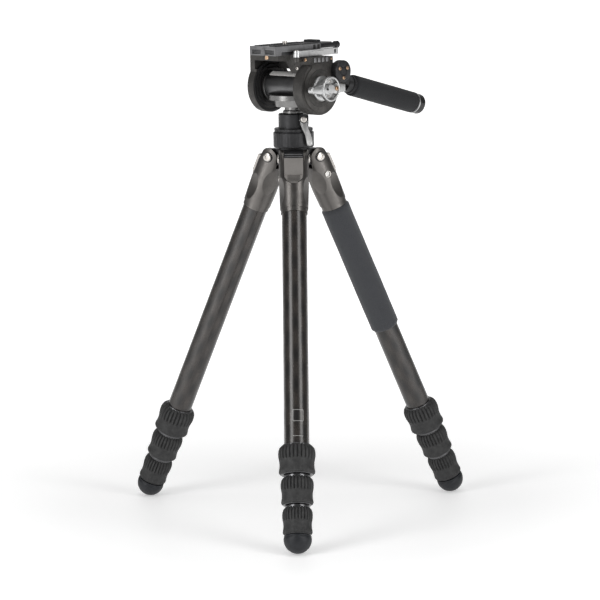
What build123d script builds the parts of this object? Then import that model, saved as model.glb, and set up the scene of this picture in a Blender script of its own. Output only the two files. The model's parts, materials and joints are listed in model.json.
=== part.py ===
from build123d import *
import math
import os

# Folding carbon tripod with a fluid head and a quick-release plate.
# Millimetres. Z is up from the ground, X runs along the head's tilt axis towards the tilt knob,
# Y runs towards the pan handle, and Z = 0 is the ground under the tripod's central axis.

# ---- driving dimensions: legs ----
LEG_AZIMUTHS = {"leg_1": -47.0, "leg_2": 73.0, "leg_3": 193.0}
SLEEVED_LEG = "leg_2"
LEG_SPREAD = 24.4  # degrees between a leg and the vertical
PIVOT_RADIUS = 29.0  # pivot bolts to the central axis
PIVOT_HEIGHT = 477.895
FOOT_CENTRE = 505.0  # pivot to the centre of the rubber foot's dome
FOOT_RADIUS = 18.0
TUBE_RADII = (16.2, 14.25, 12.5, 10.75)
TUBE_WALLS = (1.5, 1.3, 1.3, 1.3)
TUBE_TOPS = (42.0, 48.0, 52.0, 56.0)
TUBE_ENDS = (410.0, 450.0, 489.0, 508.0)
SHIM_LENGTH = 36.0
LOCK_STARTS = (383.1, 422.8, 461.9)
LOCK_ENDS = (422.4, 461.5, 499.9)
LOCK_RADII = (23.9, 21.15, 19.45)
FOOT_TOP = 500.3

# ---- driving dimensions: leg castings, pivots and angle tabs ----
EAR_RADIUS = 12.0
CASTING_RADIUS = 19.6
CASTING_END_RADIUS = 18.4
CASTING_END = 69.5
CASTING_LIP_END = 75.5
SLOT_HALF_WIDTH = 12.8
SLOT_BOTTOM = 11.6
POCKET_HALF_WIDTH = 13.4
POCKET_END = 26.0  # down to the centre of its round lower end
TAB_WIDTH = 24.8
TAB_FLOOR = 9.6  # pocket floor under the tab, from the leg's axis
BOLT_RADIUS = 4.0
PORT_DISTANCE = 26.5
PORT_RADIUS = 3.175
PORT_FACE = 19.0
PORT_DEPTH = 8.4
SCOOPS = (  # flats in the flanks: turn outward, distance down the leg, depth from axis, sweep
    (23.0, 49.0, 17.1, 90.0),
    (-50.0, 33.0, 16.9, 60.0),
)
SLEEVE_RADIUS = 19.2
SLEEVE_START = 76.0
SLEEVE_END = 262.0

# ---- driving dimensions: central stack ----
COLLAR_BOTTOM = 491.3
COLLAR_TOP = 511.0
COLLAR_RADIUS = 26.7
RIM_TOP = 516.0
RIM_RADIUS = 25.4
BARREL_TOP = 535.0
BARREL_RADIUS = 19.6
SHAFT_RADIUS = 8.0
STUD_RADIUS = 4.76
LEVER_SIDE = 14.0  # pan lever's screw, sideways from the front leg's plane
LEVER_HEIGHT = 529.5

# ---- driving dimensions: head ----
TILT_HEIGHT = 570.0
DRUM_RADIUS = 20.0
FLANGE_RADIUS = 32.9
FLANGE_BOTTOM = 553.7
FLANGE_TOP = 560.0
AXLE_RADIUS = 9.95
CHEEK_RADIUS = 35.0
CHEEKS_LEFT = (-49.0, -38.0)
CHEEKS_RIGHT = (33.3, 49.1)
CHEEK_TOP = 603.4
DECK_BOTTOM = 604.9
DECK_TOP = 613.6
PLATE_WIDTH = 45.5
PLATE_BOTTOM = 614.0
PLATE_TOP = 625.8
PLATE_FRONT = -56.0
PLATE_STEP = 30.0
PLATE_REAR = 63.0
CAMERA_SCREW_RADIUS = 3.175
CAMERA_SCREW_Y = -14.0
CAMERA_SCREW_TOP = 630.5
LEVER_PIVOT = (29.0, -22.0)
LEVER_LENGTH = 74.0
STOP_KNOB_END = 70.0
REAR_WALL = 12.0  # rear wall under the deck, from the tilt axis
ROSETTE_Y = 35.0
ROSETTE_HEIGHT = 590.0
ROSETTE_RADIUS = 14.5
HANDLE_X = 45.0
HANDLE_DROP = 14.8  # degrees the handle falls towards its end
HANDLE_OFFSET = 14.3  # rosette centre to the handle's axis
GRIP_RADIUS = 13.0
GRIP_START = 22.0
GRIP_END = 151.0

# ---- fits ----
RUN = 0.05  # radial play of a pin or tube that runs in its hole
GAP = 0.3  # space between bodies that move past each other

# the spread and the leg's length set how high the whole tripod stands above its drawing
STANCE = FOOT_CENTRE * math.cos(math.radians(LEG_SPREAD)) + FOOT_RADIUS
RISE = STANCE - PIVOT_HEIGHT

os.makedirs("parts", exist_ok=True)


def save(piece, name):
    """Label a finished sub-part, stand it at its height and write its STEP file."""
    standing = piece.part.moved(Location((0, 0, RISE)))
    standing.label = name
    export_step(standing, f"parts/{name}.step")


def leg_plane(azimuth, distance=0.0):
    """Plane across a leg: x sideways, y up and outward, z down the leg from its pivot."""
    turn = math.radians(azimuth)
    spread = math.radians(LEG_SPREAD)
    outward = Vector(math.cos(turn), math.sin(turn), 0)
    sideways = Vector(-math.sin(turn), math.cos(turn), 0)
    down_leg = outward * math.sin(spread) - Vector(0, 0, math.cos(spread))
    pivot = outward * PIVOT_RADIUS + Vector(0, 0, PIVOT_HEIGHT)
    return Plane(origin=pivot + down_leg * distance, x_dir=sideways, z_dir=down_leg)


def leg_side(azimuth, sideways=0.0):
    """Plane seen from a leg's side: x outward from the leg's axis, y down the leg."""
    across = leg_plane(azimuth)
    side = Plane(origin=across.origin, x_dir=across.y_dir, z_dir=across.x_dir)
    return side.offset(sideways)


def leg_front(azimuth, outward):
    """Plane facing outward from a leg: x sideways, y up the leg."""
    across = leg_plane(azimuth)
    origin = across.origin + across.y_dir * outward
    return Plane(origin=origin, x_dir=across.x_dir, z_dir=across.y_dir)


def turned(side, outline):
    """Solid turned about the plane's y axis from (radius, height) points."""
    with BuildPart() as piece:
        with BuildSketch(side):
            with BuildLine():
                Polyline(*outline, close=True)
            make_face()
        revolve(axis=Axis(side.origin, side.y_dir))
    return piece


# ---------------------------------------------------------------- legs


def build_casting(azimuth):
    """Upper leg casting: two ears, the tab's pocket, the tube's socket and an accessory port."""
    side = leg_side(azimuth)
    body_start = 36.0
    with BuildPart() as casting:
        with BuildSketch(side):
            Circle(EAR_RADIUS)
            with Locations((0, (body_start + CASTING_END) / 2)):
                Rectangle(2 * CASTING_RADIUS, CASTING_END - body_start)
            make_hull()
        extrude(amount=CASTING_RADIUS, both=True)
        with BuildSketch(side):
            with BuildLine():
                Polyline(
                    (0, -EAR_RADIUS),
                    (CASTING_RADIUS, -EAR_RADIUS),
                    (CASTING_RADIUS, body_start),
                    (CASTING_END_RADIUS, CASTING_END),
                    (0, CASTING_END),
                    close=True,
                )
            make_face()
        revolve(axis=Axis(side.origin, side.y_dir), mode=Mode.INTERSECT)
        with BuildSketch(leg_plane(azimuth, CASTING_END)):
            Circle(CASTING_END_RADIUS - 1.0)
        extrude(amount=CASTING_LIP_END - CASTING_END)
        # slot for the spider's lug
        with BuildSketch(side):
            with Locations((0, SLOT_BOTTOM / 2 - EAR_RADIUS)):
                Rectangle(4 * CASTING_RADIUS, SLOT_BOTTOM + 2 * EAR_RADIUS)
        extrude(amount=SLOT_HALF_WIDTH, both=True, mode=Mode.SUBTRACT)
        # pocket for the angle tab, with a round lower end
        with BuildSketch(leg_front(azimuth, TAB_FLOOR)):
            with Locations((0, -POCKET_END / 2)):
                Rectangle(2 * POCKET_HALF_WIDTH, POCKET_END)
            with Locations((0, -POCKET_END)):
                Circle(POCKET_HALF_WIDTH)
        extrude(amount=CASTING_RADIUS, mode=Mode.SUBTRACT)
        with BuildSketch(leg_plane(azimuth, TUBE_TOPS[0] - 0.5)):
            Circle(TUBE_RADII[0] + RUN)
        extrude(amount=CASTING_LIP_END, mode=Mode.SUBTRACT)
        with BuildSketch(side):
            Circle(BOLT_RADIUS + RUN)
        extrude(amount=2 * CASTING_RADIUS, both=True, mode=Mode.SUBTRACT)
        # spot face and accessory port on the clockwise side
        with BuildSketch(leg_side(azimuth, -PORT_FACE)):
            with Locations((0, PORT_DISTANCE)):
                Circle(PORT_RADIUS + 1.8)
        extrude(amount=-5.0, mode=Mode.SUBTRACT)
        with BuildSketch(leg_side(azimuth, -PORT_FACE - 1.0)):
            with Locations((0, PORT_DISTANCE)):
                Circle(PORT_RADIUS)
        extrude(amount=PORT_DEPTH + 1.0, mode=Mode.SUBTRACT)
        # two smooth flats scooped into each flank
        for turn, distance, floor, sweep in SCOOPS:
            across = leg_plane(azimuth, distance)
            outward = across.y_dir * math.sin(math.radians(turn))
            for outer in (-1, 1):
                normal = outward + across.x_dir * (outer * math.cos(math.radians(turn)))
                middle = across.origin + normal * (floor + sweep)
                with BuildSketch(Plane(origin=middle, x_dir=across.z_dir, z_dir=normal.cross(across.z_dir))):
                    Circle(sweep)
                extrude(amount=CASTING_RADIUS, both=True, mode=Mode.SUBTRACT)
        # counterbores for the two bolt heads
        for outer in (-1, 1):
            with BuildSketch(leg_side(azimuth, outer * (CASTING_RADIUS - 3.0))):
                Circle(7.2)
            extrude(amount=outer * 6.0, mode=Mode.SUBTRACT)
    return casting


def build_pivot_bolt(azimuth):
    """Pivot bolt with a domed head at each ear."""
    side = leg_side(azimuth)
    head_seat = CASTING_RADIUS - 3.0
    across = Plane(origin=side.origin, x_dir=side.y_dir, z_dir=side.x_dir)
    return turned(
        across,
        (
            (0, -head_seat - 3.6),
            (3.4, -head_seat - 3.3),
            (5.9, -head_seat - 1.6),
            (5.9, -head_seat),
            (BOLT_RADIUS, -head_seat),
            (BOLT_RADIUS, head_seat),
            (5.9, head_seat),
            (5.9, head_seat + 1.6),
            (3.4, head_seat + 3.3),
            (0, head_seat + 3.6),
        ),
    )


def build_tab(azimuth):
    """Sprung angle tab that the thumb pulls outward to free the leg."""
    straight = 21.3
    with BuildPart() as tab:
        with BuildSketch(leg_front(azimuth, TAB_FLOOR + 0.4)):
            with Locations((0, -4.7 - straight / 2)):
                Rectangle(TAB_WIDTH, straight)
            with Locations((0, -POCKET_END)):
                Circle(TAB_WIDTH / 2)
        extrude(amount=7.8)
        # thumb step at the lower end
        with BuildSketch(leg_front(azimuth, TAB_FLOOR + 7.2)):
            with Locations((0, -33.0)):
                Rectangle(TAB_WIDTH + 1.0, 12.0)
        extrude(amount=2.0, mode=Mode.SUBTRACT)
    return tab


def build_tube(azimuth, index):
    """Carbon tube of one section; the inner sections carry a guide shim at the top."""
    outer = TUBE_RADII[index]
    inner = outer - TUBE_WALLS[index]
    top = TUBE_TOPS[index]
    end = TUBE_ENDS[index]
    outline = [(inner, top), (outer, top), (outer, end), (inner, end)]
    if index > 0:
        shim = TUBE_RADII[index - 1] - TUBE_WALLS[index - 1] - RUN
        outline[1:2] = [(shim, top), (shim, top + SHIM_LENGTH), (outer, top + SHIM_LENGTH)]
    return turned(leg_side(azimuth), outline)


def build_lock(azimuth, index):
    """Twist lock: runs on the tube above it and clears the tube that slides through it."""
    start = LOCK_STARTS[index]
    length = LOCK_ENDS[index] - start
    radius = LOCK_RADII[index]
    shape = (
        (0.0, 0.80),
        (0.06, 0.93),
        (0.30, 1.0),
        (0.50, 0.97),
        (0.68, 0.90),
        (0.82, 0.90),
        (0.93, 0.965),
        (1.0, 0.93),
    )
    step = TUBE_ENDS[index] + GAP
    upper_bore = TUBE_RADII[index] + RUN
    lower_bore = TUBE_RADII[index + 1] + GAP
    outline = [(upper_bore, start)]
    outline += [(radius * share, start + length * place) for place, share in shape]
    outline += [(lower_bore, start + length), (lower_bore, step), (upper_bore, step)]
    return turned(leg_side(azimuth), outline)


def build_foot(azimuth):
    """Domed rubber foot with a socket for the last tube."""
    side = leg_side(azimuth)
    socket = TUBE_RADII[3] + RUN
    with BuildPart() as foot:
        with BuildSketch(side):
            with BuildLine():
                Polyline(
                    (0, FOOT_CENTRE + FOOT_RADIUS),
                    (0, TUBE_ENDS[3] + 0.2),
                    (socket, TUBE_ENDS[3] + 0.2),
                    (socket, FOOT_TOP),
                    (FOOT_RADIUS - 1.2, FOOT_TOP),
                    (FOOT_RADIUS, FOOT_TOP + 1.4),
                    (FOOT_RADIUS, FOOT_CENTRE),
                )
                ThreePointArc(
                    (FOOT_RADIUS, FOOT_CENTRE),
                    (
                        FOOT_RADIUS * math.sin(math.radians(45)),
                        FOOT_CENTRE + FOOT_RADIUS * math.cos(math.radians(45)),
                    ),
                    (0, FOOT_CENTRE + FOOT_RADIUS),
                )
            make_face()
        revolve(axis=Axis(side.origin, side.y_dir))
    return foot


for leg, leg_azimuth in LEG_AZIMUTHS.items():
    save(build_casting(leg_azimuth), f"{leg}_casting")
    save(build_pivot_bolt(leg_azimuth), f"{leg}_bolt")
    save(build_tab(leg_azimuth), f"{leg}_tab")
    for section in range(4):
        save(build_tube(leg_azimuth, section), f"{leg}_tube_{section + 1}")
    for lock in range(3):
        save(build_lock(leg_azimuth, lock), f"{leg}_lock_{lock + 1}")
    save(build_foot(leg_azimuth), f"{leg}_foot")

sleeve = turned(
    leg_side(LEG_AZIMUTHS[SLEEVED_LEG]),
    (
        (TUBE_RADII[0] + RUN, SLEEVE_START),
        (SLEEVE_RADIUS, SLEEVE_START),
        (SLEEVE_RADIUS, SLEEVE_END),
        (TUBE_RADII[0] + RUN, SLEEVE_END),
    ),
)
save(sleeve, "leg_2_sleeve")

# ---------------------------------------------------------------- central stack

# spider: a core with one lug for each leg, which fills the slot between the leg's ears
lug_half_width = 12.4
lug_radius = 10.6
with BuildPart() as spider:
    with BuildSketch(Plane.XZ):
        with BuildLine():
            Polyline(
                (0, 454.0),
                (8.8, 454.0),
                (8.8, 462.0),
                (14.2, 469.0),
                (14.2, 486.6),
                (20.0, 486.6),
                (20.0, COLLAR_BOTTOM),
                (0, COLLAR_BOTTOM),
                close=True,
            )
        make_face()
    revolve(axis=Axis.Z)
    for leg_azimuth in LEG_AZIMUTHS.values():
        outward = Vector(1, 0, 0).rotate(Axis.Z, leg_azimuth)
        sideways = Vector(0, 1, 0).rotate(Axis.Z, leg_azimuth)
        lug_plane = Plane(origin=(0, 0, PIVOT_HEIGHT), x_dir=outward, z_dir=-sideways)
        with BuildSketch(lug_plane):
            with Locations((PIVOT_RADIUS, 0)):
                Circle(lug_radius)
            with Locations((PIVOT_RADIUS / 2, 0)):
                Rectangle(PIVOT_RADIUS, 2 * lug_radius)
        extrude(amount=lug_half_width, both=True)
    for leg_azimuth in LEG_AZIMUTHS.values():
        outward = Vector(1, 0, 0).rotate(Axis.Z, leg_azimuth)
        sideways = Vector(0, 1, 0).rotate(Axis.Z, leg_azimuth)
        pivot = outward * PIVOT_RADIUS + Vector(0, 0, PIVOT_HEIGHT)
        with BuildSketch(Plane(origin=pivot, x_dir=outward, z_dir=-sideways)):
            Circle(BOLT_RADIUS + RUN)
        extrude(amount=2 * lug_half_width, both=True, mode=Mode.SUBTRACT)
    # bore for the head's stud
    with BuildSketch(Plane.XY.offset(480.0)):
        Circle(STUD_RADIUS + RUN)
    extrude(amount=20.0, mode=Mode.SUBTRACT)
save(spider, "spider")

collar = turned(
    Plane.XZ,
    (
        (STUD_RADIUS + RUN, COLLAR_BOTTOM),
        (COLLAR_RADIUS - 1.2, COLLAR_BOTTOM),
        (COLLAR_RADIUS, COLLAR_BOTTOM + 1.2),
        (COLLAR_RADIUS, COLLAR_TOP - 0.6),
        (COLLAR_RADIUS - 0.6, COLLAR_TOP),
        (RIM_RADIUS - 1.4, COLLAR_TOP),
        (RIM_RADIUS - 1.4, COLLAR_TOP + 1.0),
        (RIM_RADIUS, COLLAR_TOP + 1.6),
        (RIM_RADIUS, RIM_TOP - 0.8),
        (RIM_RADIUS - 0.8, RIM_TOP),
        (STUD_RADIUS + RUN, RIM_TOP),
    ),
)
save(collar, "collar")

stud = turned(
    Plane.XZ,
    (
        (0, 480.0),
        (STUD_RADIUS - 0.6, 480.0),
        (STUD_RADIUS, 480.6),
        (STUD_RADIUS, 523.4),
        (STUD_RADIUS - 0.6, 524.0),
        (0, 524.0),
    ),
)
save(stud, "stud")

# pan lever frame: x sideways from the front leg's plane, z outward along the front leg
front_turn = math.radians(LEG_AZIMUTHS["leg_1"])
front_out = Vector(math.cos(front_turn), math.sin(front_turn), 0)
front_side = Vector(-math.sin(front_turn), math.cos(front_turn), 0)


def lever_plane(outward):
    """Upright plane facing the front leg: x sideways, y up, at a distance from the axis."""
    return Plane(origin=front_out * outward, x_dir=front_side, z_dir=front_out)


lever_spot = (LEVER_SIDE, LEVER_HEIGHT)
with BuildPart() as barrel:
    with BuildSketch(Plane.XZ):
        with BuildLine():
            Polyline(
                (0, RIM_TOP),
                (BARREL_RADIUS, RIM_TOP),
                (BARREL_RADIUS, BARREL_TOP - 0.8),
                (BARREL_RADIUS - 0.8, BARREL_TOP),
                (0, BARREL_TOP),
                close=True,
            )
        make_face()
    revolve(axis=Axis.Z)
    with BuildSketch(lever_plane(8.0)):
        with Locations((LEVER_SIDE, (RIM_TOP + 4.0 + BARREL_TOP) / 2)):
            RectangleRounded(12.0, BARREL_TOP - RIM_TOP - 4.0, 3.0)
    extrude(amount=13.0)
    with BuildSketch(Plane.XY.offset(RIM_TOP - 1.0)):
        Circle(STUD_RADIUS + RUN)
    extrude(amount=9.2, mode=Mode.SUBTRACT)
    with BuildSketch(Plane.XY.offset(524.7)):
        Circle(SHAFT_RADIUS + RUN)
    extrude(amount=20.0, mode=Mode.SUBTRACT)
    with BuildSketch(lever_plane(11.0)):
        with Locations(lever_spot):
            Circle(2.5 + RUN)
    extrude(amount=20.0, mode=Mode.SUBTRACT)
save(barrel, "barrel")

with BuildPart() as pan_lever:
    with BuildSketch(lever_plane(21.3)):
        with Locations(lever_spot):
            Circle(4.8)
            Circle(2.5, mode=Mode.SUBTRACT)
    extrude(amount=7.2)
    with BuildSketch(lever_plane(25.2)):
        with BuildLine():
            Polyline(
                (LEVER_SIDE - 2.6, LEVER_HEIGHT - 3.6),
                (LEVER_SIDE - 3.6, 497.0),
                (LEVER_SIDE - 2.4, 494.5),
                (LEVER_SIDE + 2.4, 494.5),
                (LEVER_SIDE + 3.6, 497.0),
                (LEVER_SIDE + 2.6, LEVER_HEIGHT - 3.6),
                close=True,
            )
        make_face()
    extrude(amount=3.3)
save(pan_lever, "pan_lever")

with BuildPart() as pan_screw:
    with BuildSketch(lever_plane(12.0)):
        with Locations(lever_spot):
            Circle(2.5)
    extrude(amount=16.6)
    with BuildSketch(lever_plane(28.5)):
        with Locations(lever_spot):
            Circle(4.0)
            RegularPolygon(2.0, 6, mode=Mode.SUBTRACT)
    extrude(amount=2.6)
save(pan_screw, "pan_screw")

# ---------------------------------------------------------------- panning part of the head

with BuildPart() as pan_base:
    with BuildSketch(Plane.XZ):
        with BuildLine():
            Polyline(
                (0, 525.0),
                (SHAFT_RADIUS, 525.0),
                (SHAFT_RADIUS, BARREL_TOP + 0.4),
                (13.0, BARREL_TOP + 0.4),
                (13.0, 538.8),
                (11.0, 540.0),
                (11.0, 544.5),
                (23.0, 544.5),
                (26.0, FLANGE_BOTTOM),
                (FLANGE_RADIUS, FLANGE_BOTTOM),
                (FLANGE_RADIUS, FLANGE_TOP),
                (0, FLANGE_TOP),
                close=True,
            )
        make_face()
    revolve(axis=Axis.Z)
    with BuildSketch(Plane.YZ):
        with Locations((0, TILT_HEIGHT)):
            Circle(DRUM_RADIUS)
    extrude(amount=2 * FLANGE_RADIUS, both=True, mode=Mode.SUBTRACT)
save(pan_base, "pan_base")

# drum and its axle, turned about the tilt axis
tilt_plane = Plane(origin=(0, 0, TILT_HEIGHT), x_dir=(0, 0, 1), z_dir=(0, 1, 0))
drum_left = CHEEKS_LEFT[1] + 0.4
drum_right = CHEEKS_RIGHT[0] - 0.4
drum = turned(
    tilt_plane,
    (
        (0, CHEEKS_LEFT[0] + 1.5),
        (AXLE_RADIUS, CHEEKS_LEFT[0] + 1.5),
        (AXLE_RADIUS, drum_left),
        (DRUM_RADIUS - 0.8, drum_left),
        (DRUM_RADIUS, drum_left + 0.8),
        (DRUM_RADIUS, drum_right - 0.8),
        (DRUM_RADIUS - 0.8, drum_right),
        (AXLE_RADIUS, drum_right),
        (AXLE_RADIUS, CHEEKS_RIGHT[1] - 1.5),
        (0, CHEEKS_RIGHT[1] - 1.5),
    ),
)
save(drum, "drum")

# ---------------------------------------------------------------- tilting part of the head

with BuildPart() as left_cheek:
    with BuildSketch(Plane.YZ.offset(CHEEKS_LEFT[0])):
        with Locations((0, TILT_HEIGHT)):
            Circle(CHEEK_RADIUS)
        with Locations((0, (TILT_HEIGHT + DECK_BOTTOM) / 2)):
            Rectangle(58.0, DECK_BOTTOM - TILT_HEIGHT)
    extrude(amount=CHEEKS_LEFT[1] - CHEEKS_LEFT[0])
    split(bisect_by=Plane.XY.offset(DECK_BOTTOM), keep=Keep.BOTTOM)
    # the upright is thinner than the disc
    with BuildSketch(Plane.YZ.offset(CHEEKS_LEFT[1] - 2.5)):
        with Locations((0, 600.0)):
            Rectangle(70.0, 14.0)
    extrude(amount=5.0, mode=Mode.SUBTRACT)
    with BuildSketch(Plane.YZ.offset(CHEEKS_LEFT[0] + 1.0)):
        with Locations((0, TILT_HEIGHT)):
            Circle(AXLE_RADIUS + RUN)
    extrude(amount=20.0, mode=Mode.SUBTRACT)
save(left_cheek, "left_cheek")

with BuildPart() as right_cheek:
    with BuildSketch(Plane.YZ.offset(CHEEKS_RIGHT[0])):
        with Locations((0, TILT_HEIGHT)):
            Circle(CHEEK_RADIUS)
        with Locations((4.5, (TILT_HEIGHT + CHEEK_TOP) / 2)):
            Rectangle(41.0, CHEEK_TOP - TILT_HEIGHT)
        with Locations((ROSETTE_Y, ROSETTE_HEIGHT)):
            Circle(11.0)
        with Locations((28.0, ROSETTE_HEIGHT)):
            Rectangle(14.0, 22.0)
    extrude(amount=CHEEKS_RIGHT[1] - CHEEKS_RIGHT[0])
    split(bisect_by=Plane.XY.offset(CHEEK_TOP), keep=Keep.BOTTOM)
    with BuildSketch(Plane.YZ.offset(CHEEKS_RIGHT[0] - 1.0)):
        with Locations((0, TILT_HEIGHT)):
            Circle(AXLE_RADIUS + RUN)
    extrude(amount=CHEEKS_RIGHT[1] - CHEEKS_RIGHT[0], mode=Mode.SUBTRACT)
    # bore for the handle's pivot pin
    with BuildSketch(Plane.YZ.offset(CHEEKS_RIGHT[0] + 4.0)):
        with Locations((ROSETTE_Y, ROSETTE_HEIGHT)):
            Circle(4.0 + RUN)
    extrude(amount=20.0, mode=Mode.SUBTRACT)
save(right_cheek, "right_cheek")

# deck across the cheeks, with the clamp lever's ear, its pin and the ribbed block's blank
block_left = 23.7
block_bottom = CHEEK_TOP
block_top = 610.4
rear_wall_bottom = TILT_HEIGHT + math.sqrt((DRUM_RADIUS + 5.0) ** 2 - REAR_WALL**2)
with BuildPart() as deck:
    with BuildSketch(Plane.XY.offset(DECK_BOTTOM)):
        with BuildLine():
            Polyline(
                (CHEEKS_LEFT[0], -29.0),
                (2.0, -29.0),
                (12.0, -17.0),
                (block_left, -17.0),
                (block_left, 29.0),
                (CHEEKS_LEFT[0], 29.0),
                close=True,
            )
        make_face()
    extrude(amount=DECK_TOP - DECK_BOTTOM)
    with BuildSketch(Plane.XY.offset(DECK_BOTTOM)):
        with Locations(((block_left + CHEEKS_RIGHT[1]) / 2, 4.0)):
            Rectangle(CHEEKS_RIGHT[1] - block_left, 42.0)
        with Locations(LEVER_PIVOT):
            Circle(5.0)
        with Locations((LEVER_PIVOT[0], -19.0)):
            Rectangle(10.0, 8.0)
    extrude(amount=block_top - DECK_BOTTOM)
    with BuildSketch(Plane.XY.offset(block_bottom)):
        with Locations(((CHEEKS_RIGHT[0] + CHEEKS_RIGHT[1]) / 2, 4.0)):
            Rectangle(CHEEKS_RIGHT[1] - CHEEKS_RIGHT[0], 42.0)
    extrude(amount=2.0)
    with BuildSketch(Plane.XY.offset(block_top)):
        with Locations(LEVER_PIVOT):
            Circle(2.5)
    extrude(amount=8.2)
    # rear wall over the drum, between the cheeks
    with BuildSketch(Plane.XY.offset(DECK_BOTTOM)):
        with Locations((-2.5, REAR_WALL + 1.75)):
            Rectangle(67.0, 3.5)
    extrude(amount=rear_wall_bottom - DECK_BOTTOM)
save(deck, "deck")

bracket_back = 11.0
bracket_bottom = TILT_HEIGHT + math.sqrt((DRUM_RADIUS + 1.5) ** 2 - bracket_back**2)
with BuildPart() as bracket:
    with BuildSketch(Plane.XZ.offset(bracket_back)):
        with BuildLine():
            Polyline(
                (3.0, DECK_BOTTOM),
                (14.0, bracket_bottom),
                (CHEEKS_RIGHT[0], bracket_bottom),
                (CHEEKS_RIGHT[0], DECK_BOTTOM),
                close=True,
            )
        make_face()
    extrude(amount=5.0)
save(bracket, "bracket")

# fixed jaw of the quick-release clamp, on the deck
dovetail_top = 618.3
with BuildPart() as fixed_jaw:
    with BuildSketch(Plane.XZ.offset(-29.0)):
        with BuildLine():
            Polyline(
                (-27.0, DECK_TOP),
                (-20.9, DECK_TOP),
                (-17.9, 617.9),
                (-27.0, 617.9),
                close=True,
            )
        make_face()
    extrude(amount=54.0)
save(fixed_jaw, "fixed_jaw")

with BuildPart() as clamp_jaw:
    with BuildSketch(Plane.XZ.offset(-29.0)):
        with BuildLine():
            Polyline(
                (20.8, DECK_TOP + GAP),
                (22.2, DECK_TOP + GAP),
                (22.2, 617.9),
                (17.9, 617.9),
                close=True,
            )
        make_face()
    extrude(amount=43.0)
save(clamp_jaw, "clamp_jaw")

with BuildPart() as clamp_lever:
    with BuildSketch(Plane.XY.offset(block_top + 0.6)):
        with Locations(LEVER_PIVOT):
            Circle(4.8)
        with Locations((LEVER_PIVOT[0], LEVER_PIVOT[1] + LEVER_LENGTH / 2)):
            Rectangle(9.6, LEVER_LENGTH)
        with Locations(LEVER_PIVOT):
            Circle(2.5 + RUN, mode=Mode.SUBTRACT)
    extrude(amount=8.0)
save(clamp_lever, "clamp_lever")

# quick-release plate: dovetail below, flat flange above, full-depth front end
half_width = PLATE_WIDTH / 2
with BuildPart() as plate:
    with BuildSketch(Plane.XZ.offset(-PLATE_STEP)):
        with BuildLine():
            Polyline(
                (-20.1, PLATE_BOTTOM),
                (20.1, PLATE_BOTTOM),
                (17.1, dovetail_top),
                (half_width, dovetail_top),
                (half_width, PLATE_TOP),
                (-half_width, PLATE_TOP),
                (-half_width, dovetail_top),
                (-17.1, dovetail_top),
                close=True,
            )
        make_face()
    extrude(amount=PLATE_STEP - PLATE_FRONT)
    with BuildSketch(Plane.XY.offset(dovetail_top)):
        with Locations((-5.4, (PLATE_STEP + PLATE_REAR) / 2)):
            Rectangle(34.7, PLATE_REAR - PLATE_STEP)
    extrude(amount=PLATE_TOP - dovetail_top)
    with BuildSketch(Plane.XY.offset(PLATE_BOTTOM)):
        with Locations((0, PLATE_FRONT + 6.0)):
            Rectangle(PLATE_WIDTH, 12.0)
    extrude(amount=PLATE_TOP - PLATE_BOTTOM)
    # slot for the camera screw, wider underneath for its head
    with BuildSketch(Plane.XY.offset(PLATE_BOTTOM - 1.0)):
        with Locations((0, -8.0)):
            SlotOverall(60.0, 15.2, rotation=90)
    extrude(amount=4.6, mode=Mode.SUBTRACT)
    with BuildSketch(Plane.XY.offset(PLATE_BOTTOM)):
        with Locations((0, -8.0)):
            SlotOverall(51.2, 2 * CAMERA_SCREW_RADIUS + 0.2, rotation=90)
    extrude(amount=20.0, mode=Mode.SUBTRACT)
    # bore for the stop knob's rod
    with BuildSketch(Plane.XZ.offset(-20.0)):
        with Locations((17.5, 622.0)):
            Circle(1.6 + RUN)
    extrude(amount=-11.0, mode=Mode.SUBTRACT)
    # two pockets in the front end
    with BuildSketch(Plane.XZ.offset(-PLATE_FRONT - 2.5)):
        with Locations((-10.5, 618.6), (13.0, 618.6)):
            Rectangle(15.5, 5.6)
    extrude(amount=4.0, mode=Mode.SUBTRACT)
save(plate, "plate")

with BuildPart() as camera_screw:
    with BuildSketch(Plane.XY.offset(PLATE_BOTTOM + 0.4)):
        with Locations((0, CAMERA_SCREW_Y)):
            Circle(7.0)
    extrude(amount=3.0)
    # necked shank in the slot, full thread above the plate
    with BuildSketch(Plane.XY.offset(PLATE_BOTTOM + 3.4)):
        with Locations((0, CAMERA_SCREW_Y)):
            Circle(CAMERA_SCREW_RADIUS - 0.4)
    extrude(amount=PLATE_TOP - PLATE_BOTTOM - 3.4)
    with BuildSketch(Plane.XY.offset(PLATE_TOP)):
        with Locations((0, CAMERA_SCREW_Y)):
            Circle(CAMERA_SCREW_RADIUS)
    extrude(amount=CAMERA_SCREW_TOP - PLATE_TOP)
save(camera_screw, "camera_screw")

with BuildPart() as lens_stop:
    with BuildSketch(Plane.XY.offset(PLATE_TOP)):
        with Locations((-3.0, 41.0)):
            RectangleRounded(21.0, 12.0, 2.0)
    extrude(amount=3.2)
save(lens_stop, "lens_stop")

with BuildPart() as safety_screw:
    with BuildSketch(Plane.XY.offset(PLATE_BOTTOM)):
        with Locations((3.0, -51.0)):
            Circle(2.4)
    extrude(amount=-4.5)
save(safety_screw, "safety_screw")

knob_plane = Plane(origin=(17.5, 0, 622.0), x_dir=(1, 0, 0), z_dir=(0, 0, 1))
stop_knob = turned(
    knob_plane,
    (
        (0, 20.5),
        (1.6, 20.5),
        (1.6, PLATE_STEP + 0.4),
        (3.3, PLATE_STEP + 0.4),
        (3.3, STOP_KNOB_END - 9.0),
        (4.6, STOP_KNOB_END - 7.5),
        (4.6, STOP_KNOB_END - 2.0),
        (3.2, STOP_KNOB_END),
        (0, STOP_KNOB_END),
    ),
)
save(stop_knob, "stop_knob")

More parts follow.
